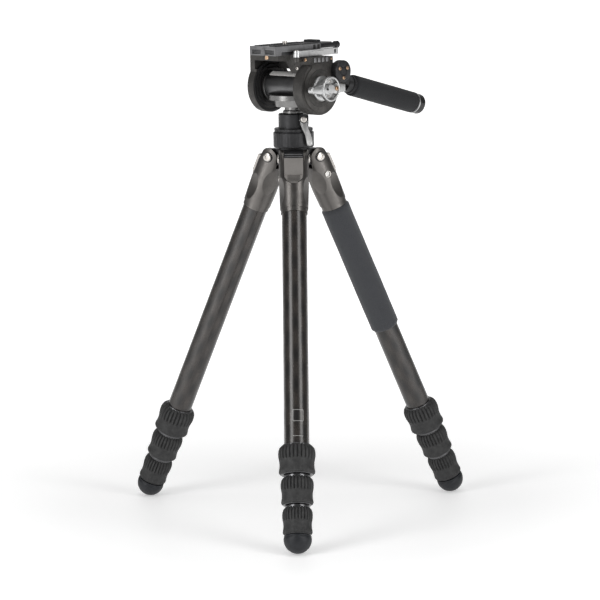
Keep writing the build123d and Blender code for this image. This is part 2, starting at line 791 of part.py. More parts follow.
# tilt knob on the right cheek: base ring, waist, outer ring and a wing bar
knob_start = CHEEKS_RIGHT[1] + 0.4
with BuildPart() as tilt_knob:
    with BuildSketch(tilt_plane):
        with BuildLine():
            Polyline(
                (0, knob_start),
                (16.4, knob_start),
                (16.4, 54.0),
                (9.5, 56.5),
                (9.5, 61.5),
                (16.4, 64.0),
                (16.4, 69.0),
                (14.0, 70.0),
                (0, 70.0),
                close=True,
            )
        make_face()
    revolve(axis=Axis(tilt_plane.origin, tilt_plane.y_dir))
    with BuildSketch(Plane.YZ.offset(60.5)):
        with Locations((-31.2, TILT_HEIGHT)):
            Circle(4.8)
        with Locations((-15.6, TILT_HEIGHT)):
            Rectangle(31.2, 9.6)
        with Locations((14.0, TILT_HEIGHT)):
            Rectangle(28.0, 11.0)
    extrude(amount=8.0)
save(tilt_knob, "tilt_knob")

# ---------------------------------------------------------------- pan handle

drop = math.radians(HANDLE_DROP)
handle_foot = Vector(
    HANDLE_X,
    ROSETTE_Y + HANDLE_OFFSET * math.sin(drop),
    ROSETTE_HEIGHT - HANDLE_OFFSET * math.cos(drop),
)
handle_way = Vector(0, math.cos(drop), -math.sin(drop))
# x across the handle, y along it
handle_side = Plane(
    origin=handle_foot,
    x_dir=(1, 0, 0),
    z_dir=Vector(1, 0, 0).cross(handle_way),
)
socket_start = 11.5
socket_end = GRIP_START - 0.2
tube_radius = 8.0
socket_plane = Plane(
    origin=handle_foot + handle_way * socket_start,
    x_dir=(1, 0, 0),
    z_dir=handle_way,
)
socket_middle = handle_foot + handle_way * (socket_start + socket_end) / 2
with BuildPart() as handle_arm:
    with BuildSketch(Plane.YZ.offset(CHEEKS_RIGHT[1] + GAP)):
        with Locations((ROSETTE_Y, ROSETTE_HEIGHT)):
            Circle(ROSETTE_RADIUS)
    extrude(amount=8.6)
    with BuildSketch(Plane.YZ.offset(CHEEKS_RIGHT[1] + GAP)):
        with Locations((ROSETTE_Y, ROSETTE_HEIGHT)):
            Circle(9.0)
        with Locations((socket_middle.Y, socket_middle.Z)):
            Circle(5.0)
        make_hull()
    extrude(amount=6.0)
    with BuildSketch(socket_plane):
        Circle(11.0)
    extrude(amount=socket_end - socket_start)
    with BuildSketch(socket_plane):
        Circle(tube_radius + RUN)
    extrude(amount=40.0, mode=Mode.SUBTRACT)
    # pivot pin into the cheek
    with BuildSketch(Plane.YZ.offset(CHEEKS_RIGHT[0] + 5.0)):
        with Locations((ROSETTE_Y, ROSETTE_HEIGHT)):
            Circle(4.0)
    extrude(amount=CHEEKS_RIGHT[1] - CHEEKS_RIGHT[0] - 4.5)
save(handle_arm, "handle_arm")

handle_tube = turned(
    handle_side,
    (
        (tube_radius - 1.5, socket_start + 0.5),
        (tube_radius, socket_start + 0.5),
        (tube_radius, GRIP_END),
        (tube_radius - 1.5, GRIP_END),
    ),
)
save(handle_tube, "handle_tube")

handle_grip = turned(
    handle_side,
    (
        (tube_radius + RUN, GRIP_START),
        (GRIP_RADIUS - 1.0, GRIP_START),
        (GRIP_RADIUS, GRIP_START + 1.0),
        (GRIP_RADIUS, GRIP_END),
        (tube_radius + RUN, GRIP_END),
    ),
)
save(handle_grip, "handle_grip")

handle_cap = turned(
    handle_side,
    (
        (0, GRIP_END),
        (GRIP_RADIUS - 0.4, GRIP_END),
        (GRIP_RADIUS - 0.4, GRIP_END + 2.0),
        (GRIP_RADIUS, GRIP_END + 2.0),
        (GRIP_RADIUS, GRIP_END + 9.0),
        (GRIP_RADIUS - 2.5, GRIP_END + 12.5),
        (0, GRIP_END + 13.5),
    ),
)
save(handle_cap, "handle_cap")
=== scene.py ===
import json
import math
from functools import partial

import bmesh
import bpy
from mathutils import Matrix, Vector


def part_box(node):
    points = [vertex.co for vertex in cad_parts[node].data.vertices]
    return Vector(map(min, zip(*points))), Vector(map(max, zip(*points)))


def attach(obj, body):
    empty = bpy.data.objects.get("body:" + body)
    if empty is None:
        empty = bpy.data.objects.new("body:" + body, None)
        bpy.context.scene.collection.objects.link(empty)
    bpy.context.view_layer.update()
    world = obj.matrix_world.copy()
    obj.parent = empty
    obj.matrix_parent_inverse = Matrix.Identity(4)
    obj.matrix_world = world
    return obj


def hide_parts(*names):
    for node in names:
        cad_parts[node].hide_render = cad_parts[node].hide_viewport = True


bl_info = {
    "name": "Carbon tripod with fluid head",
    "version": (1, 0, 0),
    "blender": (4, 5, 0),
    "location": "3D View > Sidebar > Tripod",
    "description": "Dresses the tripod's frame with its fluted locks, castings, head and finishes",
    "category": "Add Mesh",
}

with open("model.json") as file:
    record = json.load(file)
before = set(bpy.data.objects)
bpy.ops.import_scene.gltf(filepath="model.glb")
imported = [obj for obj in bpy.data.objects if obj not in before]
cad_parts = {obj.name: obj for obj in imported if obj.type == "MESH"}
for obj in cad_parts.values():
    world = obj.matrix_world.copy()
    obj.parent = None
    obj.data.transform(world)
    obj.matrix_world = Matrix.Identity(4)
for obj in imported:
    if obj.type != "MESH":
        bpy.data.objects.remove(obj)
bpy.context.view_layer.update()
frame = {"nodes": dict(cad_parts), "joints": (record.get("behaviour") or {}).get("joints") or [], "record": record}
LEGS = ("leg_1", "leg_2", "leg_3")
FRONT_LEG = "leg_1"
SLEEVED_LEG = "leg_2"
MM = 0.001
ROW = Matrix.Scale(MM, 4)


# ------------------------------------------------------------------ places


def joint(name):
    """The frame's joint of that name."""
    return next(j for j in frame["joints"] if j["name"] == name)


def axes_matrix(x_axis, y_axis, z_axis, origin):
    """Matrix from millimetres on three axes to the frame's metres."""
    turn = Matrix((x_axis, y_axis, z_axis)).transposed().to_4x4()
    return Matrix.Translation(origin) @ turn @ Matrix.Scale(MM, 4)


def leg_matrix(leg):
    """Leg axes in millimetres: x sideways, y outward, z down the leg from its pivot."""
    fold = joint(f"{leg}_fold")
    sideways = Vector(fold["axis"])
    down = Vector(joint(f"{leg}_section_2_slide")["axis"])
    return axes_matrix(sideways, down.cross(sideways), down, Vector(fold["pos_m"]))


def leg_points(leg, node):
    """A node's points on its leg's axes, in millimetres."""
    inverse = leg_matrix(leg).inverted()
    return [inverse @ v.co for v in frame["nodes"][node].data.vertices]


def leg_station(leg, node, end):
    """How far down the leg a node's mesh starts (end 0) or stops (end 1), in millimetres."""
    reach = [p.z for p in leg_points(leg, node)]
    return max(reach) if end else min(reach)


def leg_reach(leg, node):
    """Distances of a node's points from its leg's axis, in millimetres."""
    return [math.hypot(p.x, p.y) for p in leg_points(leg, node)]


def handle_matrix():
    """Handle axes in millimetres: x sideways, z along the handle from its cap's flat end."""
    cap = frame["nodes"]["handle_cap"].data.vertices
    tube = frame["nodes"]["handle_tube"].data.vertices
    cap_middle = sum((v.co for v in cap), Vector()) / len(cap)
    tube_middle = sum((v.co for v in tube), Vector()) / len(tube)
    along = cap_middle - tube_middle
    along.x = 0.0
    along.normalize()
    sideways = Vector((1, 0, 0))
    start = min(v.co.dot(along) for v in tube) - tube_middle.dot(along)
    return axes_matrix(sideways, along.cross(sideways), along, tube_middle + along * start)


# ------------------------------------------------------------------ mesh tools


def softened(outline, radius, cuts=3, closed=False):
    """The outline with its corners rounded to about that radius."""
    points = [Vector(p) for p in outline]
    soft = []
    for i, corner in enumerate(points):
        if not closed and i in (0, len(points) - 1):
            soft.append(corner)
            continue
        before, after = points[i - 1], points[(i + 1) % len(points)]
        reach = min(radius, (before - corner).length * 0.45, (after - corner).length * 0.45)
        start = corner + (before - corner).normalized() * reach
        stop = corner + (after - corner).normalized() * reach
        for step in range(cuts + 1):
            t = step / cuts
            soft.append(start.lerp(corner, t).lerp(corner.lerp(stop, t), t))
    return soft


def lathe(bm, outline, steps=96):
    """Turn (radius, height) points about z into the mesh; points on the axis close it."""
    rings = []
    for radius, height in outline:
        if radius < 1e-6:
            rings.append([bm.verts.new((0.0, 0.0, height))])
            continue
        turns = [math.tau * step / steps for step in range(steps)]
        spots = [(radius * math.cos(a), radius * math.sin(a), height) for a in turns]
        rings.append([bm.verts.new(spot) for spot in spots])
    for low, high in zip(rings, rings[1:]):
        for step in range(steps):
            after = (step + 1) % steps
            if len(low) == 1 and len(high) == 1:
                break
            if len(low) == 1:
                bm.faces.new((low[0], high[after], high[step]))
            elif len(high) == 1:
                bm.faces.new((low[step], low[after], high[0]))
            else:
                bm.faces.new((low[step], low[after], high[after], high[step]))


def loop_lathe(bm, outline, steps=96):
    """Turn a closed (radius, height) loop about z, for a ring with a bore."""
    lathe(bm, [*outline, outline[0]], steps)
    bmesh.ops.remove_doubles(bm, verts=bm.verts, dist=1e-4)


def prism(bm, outline, low, high, edge=0.0, cuts=2):
    """Upright block over an outline, with its rims rounded by edge."""
    base = [bm.verts.new((x, y, low)) for x, y in outline]
    top = [bm.verts.new((x, y, high)) for x, y in outline]
    bottom_face = bm.faces.new(base[::-1])
    top_face = bm.faces.new(top)
    for i in range(len(base)):
        after = (i + 1) % len(base)
        bm.faces.new((base[i], base[after], top[after], top[i]))
    if edge > 0:
        rims = list(bottom_face.edges) + list(top_face.edges)
        bmesh.ops.bevel(bm, geom=rims, offset=edge, segments=cuts, profile=0.5, affect="EDGES")


def block(bm, low, high, edge=0.5, cuts=2):
    """Box from its lowest to its highest corner, with all its edges rounded."""
    made = bmesh.ops.create_cube(bm, size=1.0)["verts"]
    size = [h - l for l, h in zip(low, high)]
    centre = [(h + l) / 2 for l, h in zip(low, high)]
    bmesh.ops.scale(bm, vec=size, verts=made)
    bmesh.ops.translate(bm, vec=centre, verts=made)
    rims = {e for v in made for e in v.link_edges}
    bmesh.ops.bevel(bm, geom=list(rims), offset=edge, segments=cuts, profile=0.5, affect="EDGES")


def section(inner, outer, low, high, edge=0.0, cuts=3):
    """Four-cornered (radius, height) section of a ring, with its corners rounded by edge."""
    corners = ((inner, low), (outer, low), (outer, high), (inner, high))
    return softened(corners, edge, cuts, True) if edge else corners


def arc(middle, radius, start, stop, steps=12):
    """Points along an arc, angles in degrees."""
    turns = [math.radians(start + (stop - start) * i / steps) for i in range(steps + 1)]
    return [(middle[0] + radius * math.cos(a), middle[1] + radius * math.sin(a)) for a in turns]


def new_object(name, data):
    """Put a mesh, lamp or camera in the scene as an object."""
    made = bpy.data.objects.new(name, data)
    bpy.context.scene.collection.objects.link(made)
    return made


def finish_mesh(mesh, material, smooth_angle):
    """Give a mesh its material and smooth shading below an angle in degrees."""
    mesh.materials.clear()
    mesh.materials.append(material)
    mesh.shade_smooth()
    mesh.set_sharp_from_angle(angle=math.radians(smooth_angle))


def piece_from(bm, name, matrix, material, smooth_angle):
    """Write a bmesh in local millimetres as an object in the frame."""
    bm.transform(matrix)
    bmesh.ops.recalc_face_normals(bm, faces=bm.faces)
    mesh = bpy.data.meshes.new(name)
    bm.to_mesh(mesh)
    bm.free()
    finish_mesh(mesh, material, smooth_angle)
    return new_object(name, mesh)


def settle(piece, body, stands_for=()):
    """Join a piece to its body and the nodes that it stands for."""
    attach(piece, body)
    if stands_for:
        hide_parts(*stands_for)


# ------------------------------------------------------------------ geometry nodes


def new_tree(name, inputs):
    """A geometry node tree with a geometry input, named float inputs and a geometry output."""
    tree = bpy.data.node_groups.new(name, "GeometryNodeTree")
    tree.interface.new_socket("Geometry", in_out="INPUT", socket_type="NodeSocketGeometry")
    for label, value in inputs.items():
        kind = "NodeSocketInt" if isinstance(value, int) else "NodeSocketFloat"
        socket = tree.interface.new_socket(label, in_out="INPUT", socket_type=kind)
        socket.default_value = value
    tree.interface.new_socket("Geometry", in_out="OUTPUT", socket_type="NodeSocketGeometry")
    source = tree.nodes.new("NodeGroupInput")
    sink = tree.nodes.new("NodeGroupOutput")
    return tree, source, sink


def tree_math(tree, operation, first, second=None, third=None):
    """A math node in a geometry tree; its arguments are sockets or numbers."""
    node = tree.nodes.new("ShaderNodeMath")
    node.operation = operation
    for socket, value in zip(node.inputs, (first, second, third)):
        if value is None:
            continue
        if isinstance(value, bpy.types.NodeSocket):
            tree.links.new(value, socket)
        else:
            socket.default_value = value
    return node.outputs[0]


def close_tree(tree, geometry, material, sink):
    """End a tree with Realize Instances and Set Material."""
    realize = tree.nodes.new("GeometryNodeRealizeInstances")
    paint = tree.nodes.new("GeometryNodeSetMaterial")
    paint.inputs["Material"].default_value = material
    tree.links.new(geometry, realize.inputs["Geometry"])
    tree.links.new(realize.outputs["Geometry"], paint.inputs["Geometry"])
    tree.links.new(paint.outputs["Geometry"], sink.inputs["Geometry"])


def flute_tree(material):
    """Presses rounded grooves into a turned grip, between two heights, about its own z axis."""
    tree, source, sink = new_tree(
        "Fluted grip",
        {"Flutes": 28, "Depth": 1.2, "Start": 0.0, "Stop": 10.0, "Fade": 2.0, "Phase": 0.0},
    )
    put = tree.nodes.new
    link = tree.links.new
    position = put("GeometryNodeInputPosition")
    split = put("ShaderNodeSeparateXYZ")
    link(position.outputs[0], split.inputs[0])
    x, y, z = split.outputs
    angle = tree_math(tree, "ARCTAN2", y, x)
    phase = tree_math(tree, "ADD", angle, source.outputs["Phase"])
    wave = tree_math(tree, "COSINE", tree_math(tree, "MULTIPLY", phase, source.outputs["Flutes"]))
    # only the crests of the wave bite, which keeps the ribs wider than the grooves
    bite = tree_math(tree, "SMOOTH_MAX", tree_math(tree, "ADD", wave, 0.05), 0.0, 0.25)

    def ramp(low, high, before, after):
        node = put("ShaderNodeMapRange")
        node.interpolation_type = "SMOOTHSTEP"
        for label, socket in (("Value", z), ("From Min", low), ("From Max", high)):
            link(socket, node.inputs[label])
        node.inputs["To Min"].default_value = before
        node.inputs["To Max"].default_value = after
        return node.outputs[0]

    start, stop, fade = (source.outputs[label] for label in ("Start", "Stop", "Fade"))
    rise = ramp(start, tree_math(tree, "ADD", start, fade), 0.0, 1.0)
    fall = ramp(tree_math(tree, "SUBTRACT", stop, fade), stop, 1.0, 0.0)
    window = tree_math(tree, "MULTIPLY", rise, fall)
    depth = tree_math(tree, "MULTIPLY", window, source.outputs["Depth"])
    push = tree_math(tree, "MULTIPLY", tree_math(tree, "MULTIPLY", bite, depth), -1.0)
    outward = put("ShaderNodeCombineXYZ")
    link(tree_math(tree, "MULTIPLY", tree_math(tree, "COSINE", angle), push), outward.inputs[0])
    link(tree_math(tree, "MULTIPLY", tree_math(tree, "SINE", angle), push), outward.inputs[1])
    move = put("GeometryNodeSetPosition")
    link(source.outputs["Geometry"], move.inputs["Geometry"])
    link(outward.outputs[0], move.inputs["Offset"])
    close_tree(tree, move.outputs["Geometry"], material, sink)
    return tree


def array_tree(name, material, ring):
    """Repeats the input about its own z axis (ring) or along its own x axis (row)."""
    labels = {"Count": 6, "Step": 60.0}
    tree, source, sink = new_tree(name, labels)
    put = tree.nodes.new
    link = tree.links.new
    line = put("GeometryNodeMeshLine")
    line.mode = "OFFSET"
    link(source.outputs["Count"], line.inputs["Count"])
    index = put("GeometryNodeInputIndex")
    place = tree_math(tree, "MULTIPLY", index.outputs[0], source.outputs["Step"])
    copies = put("GeometryNodeInstanceOnPoints")
    link(source.outputs["Geometry"], copies.inputs["Instance"])
    if ring:
        line.inputs["Offset"].default_value = (0, 0, 0)
        turn = put("ShaderNodeCombineXYZ")
        link(tree_math(tree, "RADIANS", place), turn.inputs["Z"])
        link(turn.outputs[0], copies.inputs["Rotation"])
        link(line.outputs["Mesh"], copies.inputs["Points"])
    else:
        offset = put("ShaderNodeCombineXYZ")
        link(source.outputs["Step"], offset.inputs["X"])
        link(offset.outputs[0], line.inputs["Offset"])
        link(line.outputs["Mesh"], copies.inputs["Points"])
    close_tree(tree, copies.outputs["Instances"], material, sink)
    return tree


def grown(bm, name, tree, passes, matrix, material, smooth_angle):
    """Run a geometry tree over a bmesh, once for each set of values, as a plain object."""
    seed_mesh = bpy.data.meshes.new(f"{name}_seed")
    bmesh.ops.recalc_face_normals(bm, faces=bm.faces)
    bm.to_mesh(seed_mesh)
    bm.free()
    seed = new_object(f"{name}_seed", seed_mesh)
    sockets = {
        item.name: item.identifier
        for item in tree.interface.items_tree
        if item.item_type == "SOCKET" and item.in_out == "INPUT"
    }
    for values in passes:
        modifier = seed.modifiers.new("Tree", "NODES")
        modifier.node_group = tree
        for label, value in values.items():
            modifier[sockets[label]] = value
    bpy.context.view_layer.update()
    evaluated = seed.evaluated_get(bpy.context.evaluated_depsgraph_get())
    mesh = bpy.data.meshes.new_from_object(evaluated)
    seed.modifiers.clear()
    bpy.data.objects.remove(seed)
    bpy.data.meshes.remove(seed_mesh)
    mesh.name = name
    mesh.transform(matrix)
    finish_mesh(mesh, material, smooth_angle)
    return new_object(name, mesh)


# ------------------------------------------------------------------ finishes


class Recipe:
    """Writes one material's node tree, with its texture laid on object coordinates."""

    def __init__(self, name):
        self.material = bpy.data.materials.new(name)
        self.material.use_nodes = True
        self.tree = self.material.node_tree
        self.tree.nodes.clear()
        self.surface = self.put("ShaderNodeBsdfPrincipled")
        output = self.put("ShaderNodeOutputMaterial")
        self.tree.links.new(self.surface.outputs[0], output.inputs["Surface"])
        self.place = self.put("ShaderNodeTexCoord").outputs["Object"]

    def put(self, kind, **settings):
        node = self.tree.nodes.new(kind)
        for label, value in settings.items():
            setattr(node, label, value)
        return node

    def feed(self, socket, value):
        if isinstance(value, bpy.types.NodeSocket):
            self.tree.links.new(value, socket)
        else:
            socket.default_value = value

    def math(self, operation, *values):
        node = self.put("ShaderNodeMath", operation=operation)
        for socket, value in zip(node.inputs, values):
            self.feed(socket, value)
        return node.outputs[0]

    def noise(self, size_mm, detail=3.0, roughness=0.55, place=None):
        node = self.put("ShaderNodeTexNoise")
        self.feed(node.inputs["Vector"], place or self.place)
        node.inputs["Scale"].default_value = 1.0 / (size_mm * MM)
        node.inputs["Detail"].default_value = detail
        node.inputs["Roughness"].default_value = roughness
        return node.outputs["Fac"]

    def cells(self, size_mm, feature="F1"):
        node = self.put("ShaderNodeTexVoronoi", feature=feature)
        self.feed(node.inputs["Vector"], self.place)
        node.inputs["Scale"].default_value = 1.0 / (size_mm * MM)
        return node.outputs["Distance"]

    def span(self, value, low, high, to_low=0.0, to_high=1.0):
        node = self.put("ShaderNodeMapRange")
        for label, entry in (
            ("Value", value),
            ("From Min", low),
            ("From Max", high),
            ("To Min", to_low),
            ("To Max", to_high),
        ):
            self.feed(node.inputs[label], entry)
        return node.outputs[0]

    def blend(self, share, first, second):
        node = self.put("ShaderNodeMix", data_type="RGBA")
        self.feed(node.inputs["Factor"], share)
        self.feed(node.inputs[6], (*first, 1.0) if isinstance(first, tuple) else first)
        self.feed(node.inputs[7], (*second, 1.0) if isinstance(second, tuple) else second)
        return node.outputs[2]

    def bump(self, height, depth_mm, strength=1.0, under=None):
        node = self.put("ShaderNodeBump")
        node.inputs["Distance"].default_value = depth_mm * MM
        node.inputs["Strength"].default_value = strength
        self.feed(node.inputs["Height"], height)
        if under is not None:
            self.feed(node.inputs["Normal"], under)
        return node.outputs[0]

    def set(self, **values):
        for label, value in values.items():
            self.feed(self.surface.inputs[label.replace("_", " ")], value)
        return self.material


def metal(name, dark, light, roughness, grain_mm, grain_depth, metallic=1.0):
    """Anodised or cast metal: a fine grain, soft cloudy colour and uneven roughness."""
    recipe = Recipe(name)
    cloud = recipe.noise(14.0, 4.0)
    grain = recipe.noise(grain_mm, 2.0, 0.6)
    soft = recipe.math("MULTIPLY", cloud, 0.45)
    speckle = recipe.math("ADD", soft, recipe.math("MULTIPLY", grain, 0.55))
    colour = recipe.blend(recipe.span(speckle, 0.36, 0.64), dark, light)
    rough = recipe.span(recipe.noise(5.0, 3.0), 0.3, 0.7, roughness - 0.05, roughness + 0.06)
    normal = recipe.bump(grain, grain_depth, 0.8)
    return recipe.set(Base_Color=colour, Roughness=rough, Metallic=metallic, Normal=normal)


def carbon(leg, fine_tows):
    """Clear-coated carbon cloth wound round one leg: fine twill, wide diamond wraps, streaks."""
    recipe = Recipe(f"carbon_{leg}")
    inverse = (leg_matrix(leg) @ Matrix.Scale(1 / MM, 4)).inverted()
    local = recipe.put("ShaderNodeMapping", vector_type="POINT")
    recipe.feed(local.inputs["Vector"], recipe.place)
    local.inputs["Location"].default_value = inverse.to_translation()
    local.inputs["Rotation"].default_value = inverse.to_euler("XYZ")
    plus, minus, times = (partial(recipe.math, name) for name in ("ADD", "SUBTRACT", "MULTIPLY"))
    split = recipe.put("ShaderNodeSeparateXYZ")
    recipe.feed(split.inputs[0], local.outputs[0])
    x, y, z = split.outputs
    turn = recipe.math("DIVIDE", recipe.math("ARCTAN2", y, x), math.tau)
    around = times(turn, float(fine_tows))
    along = recipe.math("DIVIDE", z, 1.8 * MM)
    first, second = plus(around, along), minus(around, along)
    # two-by-two twill: which of the crossing tows lies on top
    steps = plus(recipe.math("FLOOR", first), recipe.math("FLOOR", second))
    over = recipe.math("LESS_THAN", recipe.math("FLOORED_MODULO", steps, 4.0), 1.5)
    # the raised middle of each tow lightens the colour, a painted sheen; the same term also raises the bump
    crown_a = recipe.math("ABSOLUTE", recipe.math("SINE", times(first, math.pi)))
    crown_b = recipe.math("ABSOLUTE", recipe.math("SINE", times(second, math.pi)))
    crown_and_sheen = plus(times(over, crown_a), times(minus(1.0, over), crown_b))
    # wide helical wraps cross into long diamonds
    wrap_length = 41.0 * MM
    climb = times(recipe.math("DIVIDE", z, wrap_length), math.tau)
    wraps = times(turn, math.tau * 5.0)
    left, right = recipe.math("SINE", plus(wraps, climb)), recipe.math("SINE", minus(wraps, climb))
    diamond = plus(left, right)
    stretch = recipe.put("ShaderNodeVectorMath", operation="MULTIPLY")
    recipe.feed(stretch.inputs[0], local.outputs[0])
    stretch.inputs[1].default_value = (1.0, 1.0, 0.12)
    streak = recipe.noise(2.4, 4.0, 0.6, stretch.outputs[0])
    wide = plus(times(recipe.span(diamond, -2.0, 2.0), 0.42), times(streak, 0.42))
    # this term paints the tows' sheen into the colour
    tone = plus(times(crown_and_sheen, 0.22), wide)
    colour = recipe.blend(
        recipe.span(tone, 0.3, 0.85), (0.004, 0.004, 0.0042), (0.046, 0.038, 0.033)
    )
    rough = recipe.span(tone, 0.2, 0.9, 0.34, 0.22)
    height = plus(times(diamond, 0.25), crown_and_sheen)
    return recipe.set(
        Base_Color=colour,
        Roughness=rough,
        Metallic=0.35,
        Specular_IOR_Level=0.6,
        Normal=recipe.bump(height, 0.035, 0.6),
        Coat_Weight=0.6,
        Coat_Roughness=0.2,
    )


def moulded_rubber(name, dark, light, roughness, grain_mm, depth_mm):
    """Moulded rubber: a matte grained skin with faint cloudy bloom."""
    recipe = Recipe(name)
    grain = recipe.cells(grain_mm, "SMOOTH_F1")
    bloom = recipe.noise(6.0, 4.0)
    colour = recipe.blend(recipe.span(bloom, 0.35, 0.7), dark, light)
    rough = recipe.span(recipe.noise(2.0, 3.0), 0.3, 0.7, roughness - 0.06, roughness + 0.08)
    normal = recipe.bump(grain, depth_mm, 0.7, recipe.bump(bloom, 0.08, 0.4))
    return recipe.set(
        Base_Color=colour, Roughness=rough, Normal=normal, Specular_IOR_Level=0.45
    )


def foam(name, shade):
    """Closed-cell foam: small burst cells in a bluish charcoal skin."""
    recipe = Recipe(name)
    cell = recipe.cells(0.75)
    pores = recipe.span(cell, 0.12, 0.42)
    cloud = recipe.noise(9.0, 5.0)
    deep = tuple(c * shade for c in (0.017, 0.018, 0.0205))
    worn = tuple(c * shade for c in (0.032, 0.0335, 0.0375))
    burst = tuple(c * shade for c in (0.044, 0.046, 0.051))
    base = recipe.blend(recipe.span(cloud, 0.3, 0.7), deep, worn)
    colour = recipe.blend(pores, base, burst)
    normal = recipe.bump(cell, 0.3, 0.55, recipe.bump(cloud, 0.25, 0.35))
    return recipe.set(
        Base_Color=colour,
        Roughness=recipe.span(pores, 0.0, 1.0, 0.95, 0.78),
        Specular_IOR_Level=0.3,
        Normal=normal,
        Sheen_Weight=0.2 * shade,
        Sheen_Roughness=0.5,
    )


# name: dark and light shade, roughness, grain size and depth in millimetres, metallic share
METALS = {
    "black_metal": ((0.016, 0.016, 0.017), (0.036, 0.036, 0.038), 0.44, 0.2, 0.015, 0.6),
    "head": ((0.032, 0.031, 0.03), (0.086, 0.082, 0.078), 0.5, 0.42, 0.05, 0.7),
    "panel": ((0.04, 0.038, 0.036), (0.115, 0.11, 0.105), 0.44, 0.5, 0.06, 0.8),
    "plate": ((0.1, 0.1, 0.103), (0.25, 0.25, 0.255), 0.44, 0.5, 0.06, 0.8),
    "drum": ((0.12, 0.12, 0.122), (0.17, 0.17, 0.172), 0.34, 0.2, 0.008, 1.0),
    "bowl": ((0.15, 0.148, 0.146), (0.24, 0.238, 0.235), 0.32, 0.2, 0.006, 1.0),
    "silver": ((0.44, 0.445, 0.45), (0.6, 0.6, 0.595), 0.33, 0.25, 0.018, 1.0),
    "steel": ((0.42, 0.4, 0.375), (0.58, 0.555, 0.53), 0.26, 0.3, 0.006, 1.0),
    # pale, barely metallic tone that paints a highlight: the drum's front strip and the accessory port's floor
    "painted_highlight": ((0.66, 0.65, 0.63), (0.84, 0.83, 0.81), 0.34, 0.3, 0.006, 0.25),
    "lever": ((0.26, 0.26, 0.258), (0.5, 0.5, 0.495), 0.32, 0.3, 0.02, 0.85),
    "copper": ((0.32, 0.21, 0.13), (0.5, 0.35, 0.24), 0.28, 0.25, 0.01, 1.0),
    # near-black tone used as painted shade: screw keys, holes, recesses, notches and engraved lines
    "socket": ((0.012, 0.011, 0.01), (0.02, 0.019, 0.018), 0.5, 0.3, 0.01, 0.3),
    "gloss_neck": ((0.1, 0.1, 0.103), (0.16, 0.16, 0.165), 0.3, 0.3, 0.003, 1.0),
    # rib: deck ribs and spider lug ridges; on the lug ridges its paler grey is a painted highlight
    "rib": ((0.16, 0.16, 0.165), (0.27, 0.27, 0.275), 0.4, 0.4, 0.03, 0.8),
    "marking": ((0.36, 0.36, 0.355), (0.45, 0.45, 0.44), 0.5, 0.3, 0.004, 0.2),
}

# name: dark and light shade, roughness, grain size and depth in millimetres
RUBBERS = {
    "grip": ((0.018, 0.018, 0.0185), (0.036, 0.036, 0.036), 0.6, 0.4, 0.05),
    "foot": ((0.007, 0.008, 0.0105), (0.014, 0.016, 0.02), 0.5, 0.5, 0.05),
    "pad": ((0.014, 0.014, 0.015), (0.03, 0.03, 0.031), 0.7, 0.3, 0.04),
    "gloss_black": ((0.01, 0.01, 0.0105), (0.016, 0.016, 0.017), 0.2, 0.6, 0.004),
}
FOAMS = {"foam": 1.0, "grip_foam": 0.3}


def shaded(colour, share):
    """The colour made darker or paler by a share."""
    return tuple(c * share for c in colour)


def make_finishes(shade):
    """Every material of the object by its everyday name."""
    pale = shaded(shade, 2.5)
    made = {f"carbon_{leg}": carbon(leg, 56) for leg in LEGS}
    made["casting"] = metal("casting", shaded(shade, 0.78), shade, 0.36, 0.22, 0.02)
    made["tab"] = metal("tab", shaded(pale, 0.85), pale, 0.42, 0.22, 0.02, 0.8)
    made.update({name: metal(name, *values) for name, values in METALS.items()})
    made.update({name: moulded_rubber(name, *values) for name, values in RUBBERS.items()})
    made.update({name: foam(name, tone) for name, tone in FOAMS.items()})
    return made


finishes = {}


def dress(node, finish, edge=0.0, cuts=2, smooth_angle=32):
    """Give a kept CAD node its finish, and soften its edges by a width in millimetres."""
    shown = frame["nodes"][node]
    if not shown.material_slots:
        shown.data.materials.append(finishes[finish])
    for place in shown.material_slots:
        place.link = "OBJECT"
        place.material = finishes[finish]
    if edge > 0:
        bevel = shown.modifiers.new("Soft edges", "BEVEL")
        bevel.width = edge * MM
        bevel.segments = cuts
        bevel.limit_method = "ANGLE"
        bevel.angle_limit = math.radians(smooth_angle)
        bevel.harden_normals = True


# ------------------------------------------------------------------ shared small parts


def add_piece(bm, name, matrix, finish, body, slot, angle=40, stands_for=()):
    """Write a bmesh as a piece with its finish, on its body."""
    piece = piece_from(bm, name, matrix, finishes[finish], angle)
    settle(piece, body, stands_for)
    return piece


def add_block(name, low, high, edge, finish, body, slot, cuts=2):
    """Box with soft edges, in the row's own millimetres."""
    bm = bmesh.new()
    block(bm, low, high, edge, cuts)
    return add_piece(bm, name, ROW, finish, body, slot)


def add_prism(name, outline, low, high, edge, matrix, finish, body, slot, cuts=3, **more):
    """Block over an outline that lies across the matrix's z axis."""
    bm = bmesh.new()
    prism(bm, outline, low, high, edge, cuts)
    return add_piece(bm, name, matrix, finish, body, slot, **more)


def add_turned(name, outline, matrix, finish, body, slot, steps=96, **more):
    """Solid turned about the matrix's z axis."""
    bm = bmesh.new()
    lathe(bm, outline, steps)
    return add_piece(bm, name, matrix, finish, body, slot, **more)


def add_ring(name, outline, matrix, finish, body, slot, steps=96, **more):
    """Ring with a bore, turned about the matrix's z axis."""
    bm = bmesh.new()
    loop_lathe(bm, outline, steps)
    return add_piece(bm, name, matrix, finish, body, slot, **more)


def add_grown(bm, name, tree, passes, matrix, finish, body, angle=40, stands_for=()):
    """Piece made by running a geometry tree over a bmesh."""
    piece = grown(bm, name, tree, passes, matrix, finishes[finish], angle)
    settle(piece, body, stands_for)
    return piece


def add_row(name, low, high, edge, label, count, step, matrix, finish, body, cuts=2):
    """Soft-edged box repeated along the matrix's x axis."""
    bm = bmesh.new()
    block(bm, low, high, edge, cuts)
    tree = array_tree(label, finishes[finish], ring=False)
    passes = [{"Count": count, "Step": step}]
    return add_grown(bm, name, tree, passes, matrix, finish, body)


